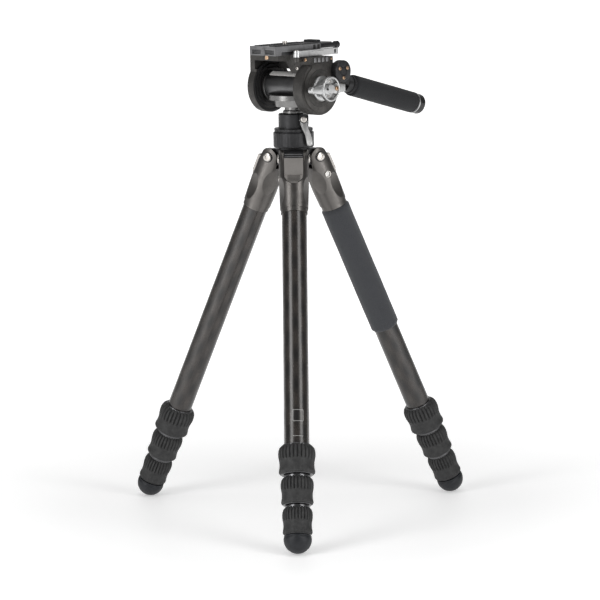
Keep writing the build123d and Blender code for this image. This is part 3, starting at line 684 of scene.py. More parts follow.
def add_hole(name, matrix, radius, top, depth, finish, body, slot, steps=24):
    """Flat disc that stands for a drilled hole or a recess's floor; a near-black finish paints the shade in a
    hole, a pale one the highlight on a floor.
    """
    outline = section(0.0, radius, top, depth)
    return add_turned(name, outline, matrix, finish, body, slot, steps, angle=30)


def screw_into(bm, radius, height, key, lobes=6, steps=48):
    """Domed screw head standing on z = 0, with a hexagonal or rounded six-lobed recess."""

    def key_ring(depth):
        ring = []
        for step in range(steps):
            turn = math.tau * step / steps
            if lobes == 6:
                part = (turn + math.pi / 6) % (math.pi / 3) - math.pi / 6
                reach = key * math.cos(math.pi / 6) / math.cos(part)
            else:
                reach = key * (0.86 + 0.14 * math.cos(6 * turn))
            ring.append((reach * math.cos(turn), reach * math.sin(turn), depth))
        return ring

    def round_ring(size, rise):
        turns = [math.tau * step / steps for step in range(steps)]
        return [(size * math.cos(a), size * math.sin(a), rise) for a in turns]

    dome = ((1.0, 0.35), (0.96, 0.6), (0.82, 0.85), (0.62, 1.0))
    rings = [round_ring(radius, -0.3)]
    rings += [round_ring(radius * size, height * rise) for size, rise in dome]
    rings += [key_ring(height), key_ring(height * 0.3)]
    made = [[bm.verts.new(co) for co in ring] for ring in rings]
    for low, high in zip(made, made[1:]):
        for step in range(steps):
            after = (step + 1) % steps
            bm.faces.new((low[step], low[after], high[after], high[step]))
    floor = bm.faces.new(made[-1])
    bm.faces.new(made[0][::-1])
    # the key recess's floor and walls take the second material, which screw fills with the near-black socket
    # finish as painted shade
    floor.material_index = 1
    for edge in floor.edges:
        for wall in edge.link_faces:
            wall.material_index = 1


def screw(name, matrix, finish, body, slot, radius, height, key):
    """One screw head on a body, standing along the matrix's z axis."""
    bm = bmesh.new()
    screw_into(bm, radius, height, key)
    head = add_piece(bm, name, matrix, finish, body, slot)
    # second material: painted shade in the key recess
    head.data.materials.append(finishes["socket"])


def facing(origin, direction, up=(0, 0, 1)):
    """Matrix in millimetres at a point of the row, with its z axis along a direction."""
    z_axis = Vector(direction).normalized()
    x_axis = Vector(up).cross(z_axis)
    if x_axis.length < 1e-6:
        x_axis = Vector((1, 0, 0))
    x_axis.normalize()
    return axes_matrix(x_axis, z_axis.cross(x_axis), z_axis, Vector(origin) * MM)


# ------------------------------------------------------------------ settings


class TripodSettings(bpy.types.PropertyGroup):
    """Sizes and colours of the tripod that a user would change."""

    flutes: bpy.props.IntProperty(
        name="Lock flutes", description="Grooves round each twist lock", default=28, min=8, max=60
    )
    flute_depth: bpy.props.FloatProperty(
        name="Flute depth", description="Depth of a lock's grooves in millimetres", default=2.0
    )
    casting: bpy.props.FloatVectorProperty(
        name="Castings",
        description="Colour of the leg castings",
        subtype="COLOR",
        default=(0.15, 0.142, 0.135),
        min=0.0,
        max=1.0,
    )
    rib_count: bpy.props.IntProperty(
        name="Deck ribs", description="Ribs on the deck's outer face", default=4, min=1, max=8
    )
    key_power: bpy.props.FloatProperty(
        name="Softbox power",
        description="Power of each front softbox in watts",
        default=15.0,
        subtype="POWER",
        unit="POWER",
    )


def settings():
    """The scene's tripod settings."""
    return bpy.context.scene.tripod_settings


# ------------------------------------------------------------------ leg pieces

LOCK_SHAPE = (
    (0.0, 0.79),
    (0.03, 0.85),
    (0.09, 0.935),
    (0.18, 0.985),
    (0.27, 1.0),
    (0.38, 0.992),
    (0.48, 0.965),
    (0.56, 0.937),
    (0.66, 0.928),
    (0.76, 0.936),
    (0.84, 0.965),
    (0.90, 0.975),
    (0.945, 0.96),
    (0.98, 0.90),
    (1.0, 0.84),
)
NECK_LENGTH = 2.4
LARGEST_LOCK = 23.9


def even_outline(shape, radius, start, length, rows):
    """Outline through (place, share) points with evenly spaced rows."""
    points = []
    for row in range(rows + 1):
        place = row / rows
        after = next(i for i, (p, _) in enumerate(shape) if p >= place - 1e-9)
        high = shape[after]
        low = shape[max(after - 1, 0)]
        gap = high[0] - low[0]
        t = (place - low[0]) / gap if gap > 0 else 0.0
        share = low[1] + (high[1] - low[1]) * t
        points.append((radius * share, start + length * place))
    return points


def make_lock(leg, number):
    """Fluted grip, neck and rim of one twist lock."""
    node, body = f"{leg}_lock_{number}", f"{leg}_ring_{number}"
    place = leg_matrix(leg)
    start, end = leg_station(leg, node, 0), leg_station(leg, node, 1)
    reach = leg_reach(leg, node)
    radius = max(reach)
    bore = min(reach) + 0.4
    grip_start = start + (NECK_LENGTH if number > 1 else 1.0)
    length = end - grip_start - 0.4
    flutes = settings().flutes
    outline = even_outline(LOCK_SHAPE, radius, grip_start, length, 46)
    outline = [(bore + 1.5, grip_start + 1.0), *outline, (bore + 0.5, end - 0.5)]
    bm = bmesh.new()
    lathe(bm, outline, flutes * 8)
    main = {
        "Flutes": flutes,
        "Depth": settings().flute_depth * radius / LARGEST_LOCK,
        "Start": grip_start - 1.5,
        "Stop": grip_start + length * 0.53,
        "Fade": 2.4,
        "Phase": 0.06,
    }
    rim = dict(main, Depth=0.32, Start=grip_start + length * 0.80, Stop=end - 1.4, Fade=1.2)
    tree = flute_tree(finishes["grip"])
    add_grown(
        bm, f"{node}_grip", tree, [main, rim], place, "grip", body, 50, [node]
    )
    neck = radius * (0.80 if number > 1 else 0.775)
    neck_end = grip_start + 1.6
    outline = (
        (bore, start),
        (neck - 0.5, start),
        (neck, start + 0.5),
        (neck, neck_end),
        (bore, neck_end),
    )
    ring = softened(outline, 0.3, 2, True)
    add_ring(f"{node}_neck", ring, place, "gloss_neck", body, "steel", angle=50)
    edge = radius * 0.86
    outline = (
        (bore + 0.2, end - 1.6),
        (edge, end - 1.6),
        (edge, end - 0.5),
        (edge - 0.5, end),
        (bore + 0.2, end),
    )
    ring = softened(outline, 0.2, 2, True)
    add_ring(f"{node}_rim", ring, place, "gloss_neck", body, "steel", angle=50)


def make_foot(leg):
    """Domed rubber foot with a beaded upper edge and a shallow groove."""
    node = f"{leg}_foot"
    start, end = leg_station(leg, node, 0), leg_station(leg, node, 1)
    radius = max(leg_reach(leg, node))
    dome = arc((0.0, end - radius), radius, 0, 90, 18)
    bead = ((4.0, 0.3), (1.6, 0.0), (0.7, 0.5), (0.35, 1.2), (0.75, 1.9), (0.75, 2.2), (0.1, 2.9))
    outline = [(radius - inset, start + drop) for inset, drop in bead]
    outline += [*dome[:-1], (0.0, end)]
    body = f"{leg}_section_4"
    add_turned(
        f"{node}_tip", outline, leg_matrix(leg), "foot", body, "foot_rubber",
        angle=60, stands_for=[node],
    )


def foam_roll(name, finish, matrix, start, end, radius, bore):
    """Foam sleeve: soft rounded ends and a faintly uneven, hand-pressed surface."""
    rows = 60
    outline = [(bore, start + 0.8)]
    shoulder = 2.2
    for row in range(rows + 1):
        place = row / rows
        height = start + (end - start) * place
        from_end = min(height - start, end - height)
        inset = max(0.0, shoulder - from_end)
        drop = shoulder - math.sqrt(max(0.0, shoulder**2 - inset**2))
        outline.append((radius - drop, height))
    outline.append((bore, end - 0.8))
    bm = bmesh.new()
    lathe(bm, outline, 128)
    for vert in bm.verts:
        x, y, z = vert.co
        out = math.hypot(x, y)
        if out < bore + 0.5:
            continue
        turn = math.atan2(y, x)
        wave = math.sin(turn * 2.0 + z * 0.05) * 0.5 + math.sin(turn * 5.0 - z * 0.11) * 0.3
        wave += math.sin(z * 0.23 + turn) * 0.2
        give = 1.0 - (0.12 - 0.12 * wave) / out
        vert.co.x *= give
        vert.co.y *= give
    return piece_from(bm, name, matrix, finishes[finish], 70)


def make_tab_details(leg):
    """Thumb ribs across the lower end of a leg's angle tab."""
    tab = f"{leg}_tab"
    local = leg_points(leg, tab)
    face = max(p.y for p in local)
    half = max(p.x for p in local) - 4.0
    place = leg_matrix(leg) @ Matrix.Translation((0, 0, min(p.z for p in local) + 24.0))
    # the row runs along x, so each bar is made along z and the row is then turned down the leg
    place = place @ Matrix.Rotation(math.radians(-90), 4, "Y")
    add_row(
        f"{tab}_ribs", (-0.35, face - 1.9, -half), (0.35, face - 0.35, half), 0.18,
        "Thumb ribs", 5, 1.7, place, "casting", f"{leg}_angle_tab",
    )


def make_casting_details(leg):
    """Pivot screw heads with their washers, and the accessory port's steel insert with its pale floor, a painted
    highlight.
    """
    place = leg_matrix(leg)
    reach = max(p.x for p in leg_points(leg, f"{leg}_bolt"))
    for side, end in ((1, "a"), (-1, "b")):
        direction = (place.to_3x3() @ Vector((side, 0, 0))).normalized()
        spot = place @ Vector((side * (reach - 0.5), 0, 0))
        matrix = facing(spot / MM, direction)
        screw(f"{leg}_bolt_head_{end}", matrix, "steel", leg, "steel", 6.0, 1.8, 3.0)
        washer = section(6.0, 7.1, -2.6, -0.4, 0.1, 2)
        add_ring(f"{leg}_bolt_washer_{end}", washer, matrix, "black_metal", leg, "steel", 64)
    port = next(m for m in frame["record"]["mounts"] if m["name"] == f"{leg}_port")
    out = Vector(port["axis"])
    matrix = facing(Vector(port["pos_m"]) / MM + out * 5.0, out)
    ring = ((3.3, 0.0), (4.6, 0.0), (4.6, 0.9), (4.2, 1.3), (3.5, 1.3), (3.3, 1.1))
    add_ring(f"{leg}_port_insert", ring, matrix, "steel", leg, "steel", 64, angle=30)
    # the pale finish on the port's floor is a painted highlight
    add_hole(f"{leg}_port_floor", matrix, 3.2, -1.4, -0.7, "painted_highlight", leg, "steel", 32)


def make_lug_ridges(leg):
    """Ridges across the spider's lug, where the angle tab meets it."""
    lug_half = 11.8
    # the ring turns about z, so the bar is made with its length along z
    bm = bmesh.new()
    block(bm, (-0.55, 10.2, -lug_half), (0.55, 10.95, lug_half), 0.25)
    tilt = Matrix.Rotation(math.radians(-14), 4, "X") @ Matrix.Rotation(math.radians(90), 4, "Y")
    # the ridges take the paler rib finish instead of the spider's black: a painted highlight along the lit ridges
    tree = array_tree("Lug ridges", finishes["rib"], ring=True)
    passes = [{"Count": 4, "Step": 17.0}]
    name = f"{leg}_lug_ridges"
    add_grown(bm, name, tree, passes, leg_matrix(leg) @ tilt, "rib", "base")


def curved_bar(bm, radius, turns, places, thick=0.06, steps=24):
    """Thin bar bent round z, from one turn to another (degrees) and between two places on z."""
    low, high = places
    outer = radius + thick
    corners = ((radius, low), (outer, low), (outer, high), (radius, high))
    columns = []
    for step in range(steps + 1):
        turn = math.radians(turns[0] + (turns[1] - turns[0]) * step / steps)
        spot = Vector((math.cos(turn), math.sin(turn), 0.0))
        columns.append([bm.verts.new(spot * r + Vector((0, 0, z))) for r, z in corners])
    for first, second in zip(columns, columns[1:]):
        for i in range(4):
            after = (i + 1) % 4
            bm.faces.new((first[i], first[after], second[after], second[i]))
    bm.faces.new(columns[0][::-1])
    bm.faces.new(columns[-1])


def make_tube_marks():
    """Plain printed frame and index line near the foot of the front leg's outer tube."""
    radius = max(leg_reach(FRONT_LEG, f"{FRONT_LEG}_tube_1"))
    lock = leg_station(FRONT_LEG, f"{FRONT_LEG}_lock_1", 0)
    high, low = lock - 43.0, lock - 28.5
    line = 0.55
    bm = bmesh.new()
    for place in (high, low):
        curved_bar(bm, radius, (57.0, 106.0), (place, place + line))
    for turn in (57.0, 104.2):
        curved_bar(bm, radius, (turn, turn + 1.8), (high + line + 0.02, low - 0.02), steps=2)
    curved_bar(bm, radius, (66.0, 98.0), (lock - 9.0, lock - 8.5))
    for turn in (60.0, 101.0):
        curved_bar(bm, radius, (turn, turn + 3.0), (lock - 9.3, lock - 8.2), steps=3)
    place = leg_matrix(FRONT_LEG)
    add_piece(bm, "front_tube_marks", place, "marking", FRONT_LEG, "carbon")


class TRIPOD_OT_locks(bpy.types.Operator):
    """Make the fluted twist locks of every leg"""

    bl_idname = "tripod.locks"
    bl_label = "Twist locks"

    def execute(self, context):
        for leg in LEGS:
            for number in (1, 2, 3):
                make_lock(leg, number)
        return {"FINISHED"}


class TRIPOD_OT_feet(bpy.types.Operator):
    """Make the rubber feet"""

    bl_idname = "tripod.feet"
    bl_label = "Feet"

    def execute(self, context):
        for leg in LEGS:
            make_foot(leg)
        return {"FINISHED"}


class TRIPOD_OT_legs(bpy.types.Operator):
    """Finish the tubes, castings, pivots and angle tabs"""

    bl_idname = "tripod.legs"
    bl_label = "Legs"

    def execute(self, context):
        for leg in LEGS:
            for number in (1, 2, 3, 4):
                dress(f"{leg}_tube_{number}", f"carbon_{leg}")
            dress(f"{leg}_casting", "casting", 0.7, 3)
            dress(f"{leg}_tab", "tab", 0.6, 3)
            dress(f"{leg}_bolt", "steel", 0.3)
            make_tab_details(leg)
            make_casting_details(leg)
            make_lug_ridges(leg)
        make_tube_marks()
        return {"FINISHED"}


class TRIPOD_OT_sleeve(bpy.types.Operator):
    """Make the foam sleeve of one leg"""

    bl_idname = "tripod.sleeve"
    bl_label = "Foam sleeve"

    def execute(self, context):
        node = "leg_2_sleeve"
        start = leg_station(SLEEVED_LEG, node, 0)
        end = leg_station(SLEEVED_LEG, node, 1)
        place = leg_matrix(SLEEVED_LEG)
        sleeve = foam_roll("leg_2_foam", "foam", place, start, end, 19.25, 16.3)
        settle(sleeve, SLEEVED_LEG, [node])
        return {"FINISHED"}


# ------------------------------------------------------------------ central stack


def make_collar():
    """Faceted collar with its undercut, notched rim."""
    low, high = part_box("collar")
    bottom, top = low[2] / MM, high[2] / MM
    radius = high[0] / MM
    rim = radius - 1.3
    rim_start = top - 5.0
    side = [(radius, bottom + 1.4 + i * (rim_start - bottom - 2.2) / 14) for i in range(15)]
    outline = [
        (5.0, bottom),
        (radius - 1.2, bottom),
        (radius - 0.35, bottom + 0.35),
        *side,
        (radius - 0.3, rim_start - 0.25),
        (radius - 1.0, rim_start),
        (rim - 1.4, rim_start + 0.05),
        (rim - 1.4, rim_start + 1.0),
        (rim - 0.3, rim_start + 1.3),
        (rim, rim_start + 1.8),
        *((rim, rim_start + 1.8 + 0.5 * i) for i in range(1, 5)),
        (rim, top - 0.8),
        (rim - 0.25, top - 0.25),
        (rim - 0.8, top),
        (12.0, top),
    ]
    bm = bmesh.new()
    lathe(bm, outline, 240)
    labels = ("Flutes", "Depth", "Start", "Stop", "Fade", "Phase")
    facets = dict(zip(labels, (30, 0.16, bottom + 1.5, rim_start - 1.0, 1.2, 0.0)))
    notches = dict(zip(labels, (12, 0.8, rim_start + 1.2, top - 0.6, 0.6, 0.2)))
    tree = flute_tree(finishes["black_metal"])
    add_grown(
        bm, "collar_shell", tree, [facets, notches], ROW, "black_metal", "base",
        30, ["collar"],
    )


def make_pan_lever():
    """Cranked clamp lever: a round boss, a narrow neck and a flared, rounded grip."""
    turn = joint("pan_lever_turn")
    out, pivot = Vector(turn["axis"]), Vector(turn["pos_m"])
    reach = [(v.co - pivot).dot(out) / MM for v in frame["nodes"]["pan_lever"].data.vertices]
    low, high = min(reach), max(reach)
    right = [(4.3, -2.6), (3.5, -6.5), (5.2, -12.0), (8.2, -19.0), (10.2, -26.0), (11.0, -32.5)]
    tip = [(9.6, -35.2), (5.2, -35.6)]
    left = [(3.6, -33.5), (2.6, -26.0), (1.0, -19.0), (-2.4, -12.5), (-4.3, -7.0), (-4.6, -2.6)]
    outline = arc((0.0, 0.0), 5.2, 210, -30, 24) + softened(right + tip + left, 2.0, 2)
    place = facing(pivot / MM, out)
    add_prism(
        "pan_lever_crank", outline[::-1], low, high - 0.6, 1.2, place, "lever", "pan_lock",
        "silver_metal", angle=50, stands_for=["pan_lever"],
    )
    shape = ((3.9, -1.2), (5.5, -1.2), (5.5, 0.1), (5.1, 0.5), (3.9, 0.5))
    ring = [(radius, high + rise) for radius, rise in shape]
    add_ring("pan_lever_collar", ring, place, "black_metal", "pan_lock", "silver_metal", 64)
    end = max(v.co.dot(out) for v in frame["nodes"]["pan_screw"].data.vertices)
    spot = pivot + out * (end - pivot.dot(out))
    place = facing(spot / MM, out)
    screw("pan_screw_cap", place, "steel", "pan_lock", "steel", 4.1, 1.2, 2.0)


class TRIPOD_OT_stack(bpy.types.Operator):
    """Make the spider, collar, pan clamp and pan lever"""

    bl_idname = "tripod.stack"
    bl_label = "Central stack"

    def execute(self, context):
        dress("spider", "black_metal", 0.5)
        dress("stud", "steel", 0.2)
        dress("barrel", "black_metal", 0.5)
        dress("pan_screw", "steel", 0.3)
        make_collar()
        make_pan_lever()
        return {"FINISHED"}


# ------------------------------------------------------------------ head


def tilt_spot():
    """Middle of the tilt axis, in metres."""
    return Vector(joint("tilt")["pos_m"])


def x_matrix():
    """Matrix whose z axis runs along the tilt axis (+X), with its x axis pointing up."""
    return axes_matrix(Vector((0, 0, 1)), Vector((0, -1, 0)), Vector((1, 0, 0)), tilt_spot())


def side_matrix(origin=None):
    """Matrix that stands an outline up facing +X, on the tilt axis unless told otherwise."""
    spot = tilt_spot() if origin is None else Vector(origin) * MM
    return axes_matrix(Vector((0, 1, 0)), Vector((0, 0, 1)), Vector((1, 0, 0)), spot)


def about_tilt(name, outline, finish, body, slot, angle=35):
    """Ring turned about the tilt axis from (radius, x) points."""
    return add_ring(name, outline, x_matrix(), finish, body, slot, 128, angle=angle)


def make_cheek_details():
    """Panel and cover ring of the right cheek, inner rings and outer bosses of the left one."""
    body, slot = "tilt_head", "head_metal"
    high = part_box("right_cheek")[1]
    face = high[0] / MM
    top = high[2] / MM - tilt_spot().z / MM - 0.8
    outline = arc((0.0, 0.0), 31.0, 49.8, -240.0, 72) + [(-15.5, top), (20.0, top)]
    add_prism(
        "right_cheek_panel", outline[::-1], face - 0.3, face + 0.9, 0.45, side_matrix(),
        "panel", body, slot,
    )
    shape = ((18.6, 0.5), (24.6, 0.5), (24.6, 1.2), (24.3, 1.5), (18.9, 1.5))
    ring = [(radius, face + rise) for radius, rise in shape]
    about_tilt("right_cheek_ring", ring, "head", body, slot)
    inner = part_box("left_cheek")[1][0] / MM
    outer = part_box("left_cheek")[0][0] / MM
    free_until = -36.5
    for number, (small, large, depth) in enumerate(
        ((30.5, 33.6, 1.1), (25.5, 28.5, 0.9), (21.2, 23.6, 0.7))
    ):
        ring = (
            (small, inner - 0.4),
            (large, inner - 0.4),
            (large, inner + depth - 0.3),
            (large - 0.3, inner + depth),
            (small + 0.3, inner + depth),
            (small, inner + depth - 0.3),
        )
        if inner + depth < free_until:
            about_tilt(f"left_cheek_ring_{number}", ring, "black_metal", body, slot)
    for number, (small, large) in enumerate(((26.0, 27.5), (12.0, 20.0))):
        ring = section(small, large, outer + 0.3, outer - 0.6, 0.3, 2)
        about_tilt(f"left_cheek_boss_{number}", ring, "head", body, slot)


def make_deck_details():
    """Upright ribs, two brass screws on near-black patches that paint the shade of their recesses, and the
    bracket's screw.
    """
    body, slot = "tilt_head", "head_metal"
    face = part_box("deck")[1][0] / MM
    cheek_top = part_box("right_cheek")[1][2] / MM
    rib_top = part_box("clamp_lever")[0][2] / MM - 0.7
    place = axes_matrix(
        Vector((0, 1, 0)), Vector((1, 0, 0)), Vector((0, 0, 1)), Vector((face, -9.0, 0)) * MM
    )
    ribs = add_row(
        "deck_ribs", (-2.1, -0.4, cheek_top + 0.6), (2.1, 0.9, rib_top - 0.4), 0.45,
        "Deck ribs", settings().rib_count, 7.4, place, "rib", body, cuts=3,
    )
    ribs.data.flip_normals()
    front = -17.0
    middle = (cheek_top + rib_top) / 2 + 0.6
    # near-black block just proud of the deck's front: painted shade where the front screw's recess is
    low, high = (36.6, front - 0.15, middle - 3.0), (44.6, front + 1.0, middle + 3.0)
    add_block("deck_recess_front", low, high, 0.3, "socket", body, slot)
    place = facing((39.8, front - 0.1, middle), (0, -1, 0))
    screw("deck_screw_front", place, "copper", body, "brass", 2.4, 1.0, 1.2)
    # near-black block: painted shade in the rear notch
    low, high = (face - 1.0, 19.6, middle - 3.4), (face + 0.12, 24.6, middle + 2.6)
    add_block("deck_notch_rear", low, high, 0.3, "socket", body, slot)
    place = facing((face + 0.1, 22.1, middle - 0.4), (1, 0, 0))
    screw("deck_screw_rear", place, "copper", body, "brass", 1.7, 0.7, 0.9)
    low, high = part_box("bracket")
    front, bottom = low[1] / MM, low[2] / MM
    spot = (24.0, front, bottom + 7.5)
    screw("bracket_screw", facing(spot, (0, -1, 0)), "steel", body, "steel", 2.7, 1.2, 1.3)
    # near-black discs: painted shade in the bracket's two holes
    for number, shift in enumerate((-5.0, 5.4)):
        place = facing((spot[0] + shift, front, spot[2] + 4.6), (0, -1, 0))
        add_hole(f"bracket_hole_{number}", place, 1.0, 0.05, -0.6, "socket", body, slot)
    low, high = (14.4, front - 0.5, bottom - 0.2), (high[0] / MM - 0.4, front + 3.0, bottom + 1.3)
    add_block("bracket_ledge", low, high, 0.4, "bowl", body, slot)


def make_drum_details():
    """Bands turned on the drum, the raised strip along its front, whose pale finish is a painted highlight, and
    the ring at its neck.
    """
    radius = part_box("drum")[1][2] / MM - tilt_spot().z / MM
    inner = radius - 1.0
    bands = (
        (-36.6, -33.0, 0.7, "bowl"),
        (-31.0, -29.6, 0.45, "black_metal"),
        (27.5, 28.6, 0.4, "bowl"),
    )
    for number, (left, right, rise, finish) in enumerate(bands):
        outer = radius + rise
        ring = (
            (inner, left),
            (outer - 0.25, left),
            (outer, left + 0.3),
            (outer, right - 0.3),
            (outer - 0.25, right),
            (inner, right),
        )
        about_tilt(f"drum_band_{number}", ring, finish, "pan_head", "drum_metal")
    # the strip is a raised band; its pale, barely metallic finish is a painted highlight along the drum's top
    # front
    sector = arc((0, 0), radius + 0.75, 108, 132, 10) + arc((0, 0), inner, 132, 108, 10)
    add_prism(
        "drum_strip", sector, -29.0, 26.6, 0.3, side_matrix(), "painted_highlight", "pan_head",
        "silver_metal", cuts=2, angle=35,
    )
    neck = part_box("pan_base")[0][2] / MM + 10.4
    ring = section(10.0, 13.6, neck, neck + 3.0, 0.6)
    add_ring("neck_ring", ring, ROW, "bowl", "pan_head", "silver_metal")


def make_plate_details():
    """Rubber strips, front serrations and post, and the index notches, near-black patches of painted shade, of the
    quick-release plate.
    """
    body, slot = "quick_plate", "plate_metal"
    low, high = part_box("plate")
    top, front, half = high[2] / MM, low[1] / MM, high[0] / MM
    strips = (("left", 2.6 - half, -6.2), ("right", 6.2, half - 2.6))
    for side, x_low, x_high in strips:
        low, high = (x_low, front + 6.0, top - 0.2), (x_high, 29.0, top + 0.8)
        add_block(f"plate_pad_{side}", low, high, 0.35, "pad", body, "grip_rubber", 3)
    for number, (x_low, x_high) in enumerate(((-18.0, -3.0), (5.4, 20.4))):
        place = Matrix.Translation(Vector((x_low + 0.2, front + 2.4, top - 7.2)) * MM) @ ROW
        add_row(
            f"plate_serrations_{number}", (-0.3, -0.9, -2.6), (0.3, 0.0, 2.6), 0.12,
            f"Serrations {number}", 10, (x_high - x_low) / 9 - 0.05, place, "plate", body,
        )
    post = softened(section(0, 1.7, top - 11.4, top - 2.2), 0.4)
    place = Matrix.Translation(Vector((2.0, front + 0.3, 0)) * MM) @ ROW
    add_turned("plate_post", post, place, "plate", body, slot, 32)
    # near-black blocks just proud of the side: painted shade in the index notches
    for number, (start, stop) in enumerate(((15.6, 20.4), (23.6, 28.6))):
        low, high = (half - 0.7, start, top - 6.8), (half + 0.12, stop, top - 1.0)
        add_block(f"plate_notch_{number}", low, high, 0.3, "socket", body, slot)
    place = facing((3.0, -51.0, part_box("safety_screw")[0][2] / MM), (0, 0, -1), (0, 1, 0))
    screw("safety_screw_tip", place, "copper", body, "brass", 2.4, 0.8, 1.2)
    make_camera_thread()


def make_camera_thread():
    """Quarter-inch thread of the camera screw, above the plate."""
    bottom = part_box("camera_screw")[1][2] / MM - 4.4
    pitch = 1.27
    outline = [(2.4, bottom)]
    for turn in range(3):
        height = bottom + 0.3 + turn * pitch
        outline += [(2.75, height), (3.3, height + pitch * 0.4), (3.3, height + pitch * 0.55)]
    outline += [(2.75, bottom + 0.3 + 3 * pitch), (2.3, bottom + 4.7), (0.0, bottom + 4.7)]
    place = Matrix.Translation(Vector((0, -14.0, 0)) * MM) @ ROW
    add_turned("camera_thread", outline, place, "steel", "top_screw", "steel", 48, angle=25)


def make_lever_details():
    """Engraved lines as near-black strips of painted shade, the tip socket and the pivot screw of the clamp lever.
    """
    body, slot = "clamp_handle", "silver_metal"
    low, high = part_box("clamp_lever")
    face, tip = high[0] / MM, high[1] / MM
    z_low, z_high = low[2] / MM, high[2] / MM
    # near-black strips just proud of the face: painted shade in the engraved lines
    for number, (start, stop, bottom, top) in enumerate(
        ((2.0, 24.0, z_high - 1.7, z_high - 1.2), (-4.2, -3.7, z_low + 0.8, z_high - 0.8))
    ):
        low, high = (face - 0.6, start, bottom), (face + 0.06, stop, top)
        add_block(f"lever_line_{number}", low, high, 0.1, "socket", body, slot, 1)
    low, high = (face - 0.8, tip - 8.0, z_low + 1.6), (face + 0.1, tip - 4.4, z_high - 1.4)
    add_block("lever_socket", low, high, 0.3, "black_metal", body, slot)
    pivot = Vector(joint("clamp_lever_swing")["pos_m"]) / MM
    place = facing((pivot.x, pivot.y, z_high), (0, 0, 1), (0, 1, 0))
    screw("lever_screw", place, "steel", body, "steel", 3.4, 1.2, 1.7)


def make_tilt_knob():
    """Tilt knob: base ring, waist, open outer ring, wing bar and its screw."""
    body, slot = "tilt_lock", "silver_metal"
    low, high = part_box("tilt_knob")
    start, end = low[0] / MM, high[0] / MM
    centre = tilt_spot().z / MM
    big = high[2] / MM - centre
    shapes = {
        "base": (
            (4.0, start), (big - 0.6, start), (big, start + 0.6), (big, start + 3.6),
            (big - 1.2, start + 4.8), (10.5, start + 6.2), (4.0, start + 6.2),
        ),
        "waist": (
            (4.0, start + 5.5), (9.6, start + 5.5), (9.0, start + 8.0), (9.6, end - 7.5),
            (13.8, end - 6.6), (13.8, end - 5.2), (4.0, end - 5.2),
        ),
        "ring": (
            (13.4, end - 6.6), (big - 0.9, end - 6.6), (big, end - 5.6), (big, end - 0.9),
            (big - 0.9, end), (14.2, end), (13.4, end - 0.8),
        ),
    }
    for part, outline in shapes.items():
        outline = softened(outline, 0.5, 3, True)
        piece = about_tilt(f"tilt_knob_{part}", outline, "silver", body, slot)
        if part == "base":
            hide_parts("tilt_knob")
    arm, short = low[1] / MM, high[1] / MM
    tip = 4.8
    upper = [
        (short, 4.4), (short - 1.0, 5.4), (9.0, 5.4), (4.0, 6.6), (-4.0, 6.6), (-13.5, 6.2),
        (-19.0, 4.4),
    ]
    lower = [(y, -z) for y, z in upper[::-1]]
    outline = arc((arm + tip, 0), tip, 100, 260, 16) + lower + upper
    add_prism(
        "tilt_knob_wing", outline, end - 9.4, end - 1.4, 1.5, side_matrix(), "silver", body, slot,
        cuts=4, angle=50,
    )
    hub = softened(section(0, 6.4, end - 3.0, end - 0.4), 1.0, 4)
    add_turned("tilt_knob_hub", hub, x_matrix(), "silver", body, slot, 64)
    place = facing((end - 1.5, 10.5, centre), (1, 0, 0))
    screw("tilt_knob_screw", place, "copper", body, "brass", 3.0, 1.6, 1.6)
    # near-black disc: painted shade in the knob's eye
    place = facing((end - 0.5, -6.6, centre), (1, 0, 0))
    add_hole("tilt_knob_eye", place, 1.5, 0.1, -0.8, "socket", body, slot)
    # two pressed marks in the pockets between the spokes
    for number, (y, z) in enumerate(((2.0, 9.4), (-1.5, -9.4))):
        place = facing((end - 5.3, y, centre + z), (1, 0, 0))
        screw(f"tilt_knob_pin_{number}", place, "steel", body, "steel", 1.6, 0.9, 0.8)
    # fine grip lines on the short arm's end
    place = side_matrix((end - 1.4, 17.5, centre))
    add_row(
        "tilt_knob_lines", (-0.35, -4.2, -0.4), (0.35, 4.2, 0.25), 0.15,
        "Wing lines", 6, 1.7, place, "silver", body,
    )


def make_handle():
    """Foam grip, knurled collar and end cap of the pan handle."""
    place = handle_matrix()
    inverse = place.inverted()

    def reach(node):
        heights = [(inverse @ v.co).z for v in frame["nodes"][node].data.vertices]
        return min(heights), max(heights)

    start, end = reach("handle_grip")
    stop = reach("handle_cap")[1]
    grip = foam_roll("handle_foam", "grip_foam", place, start + 3.2, end, 14.2, 8.1)
    settle(grip, "handle", ["handle_grip"])
    rows = [(12.1, start - 1.2 + 0.35 * i) for i in range(14)]
    outline = [(8.1, start - 1.6), (11.4, start - 1.6), *rows]
    outline += [(11.4, start + 3.6), (8.1, start + 3.6)]
    bm = bmesh.new()
    lathe(bm, outline, 240)
    labels = ("Flutes", "Depth", "Start", "Stop", "Fade", "Phase")
    knurl = dict(zip(labels, (30, 0.7, start - 1.4, start + 3.6, 0.6, 0.0)))
    tree = flute_tree(finishes["black_metal"])
    add_grown(
        bm, "handle_collar", tree, [knurl], place, "black_metal", "handle", 50
    )
    cap = [
        (0.0, end), (8.1, end), (13.2, end), (13.6, end + 1.6), (13.7, stop - 2.6),
        (13.0, stop - 1.0), (11.4, stop), (0.0, stop),
    ]
    add_turned(
        "handle_end", softened(cap, 0.7, 3), place, "gloss_black", "handle", "gloss_black",
        stands_for=["handle_cap"],
    )
    ring = section(12.0, 14.0, end - 0.2, end + 1.7, 0.4)
    add_ring("handle_cap_ring", ring, place, "silver", "handle", "silver_metal")


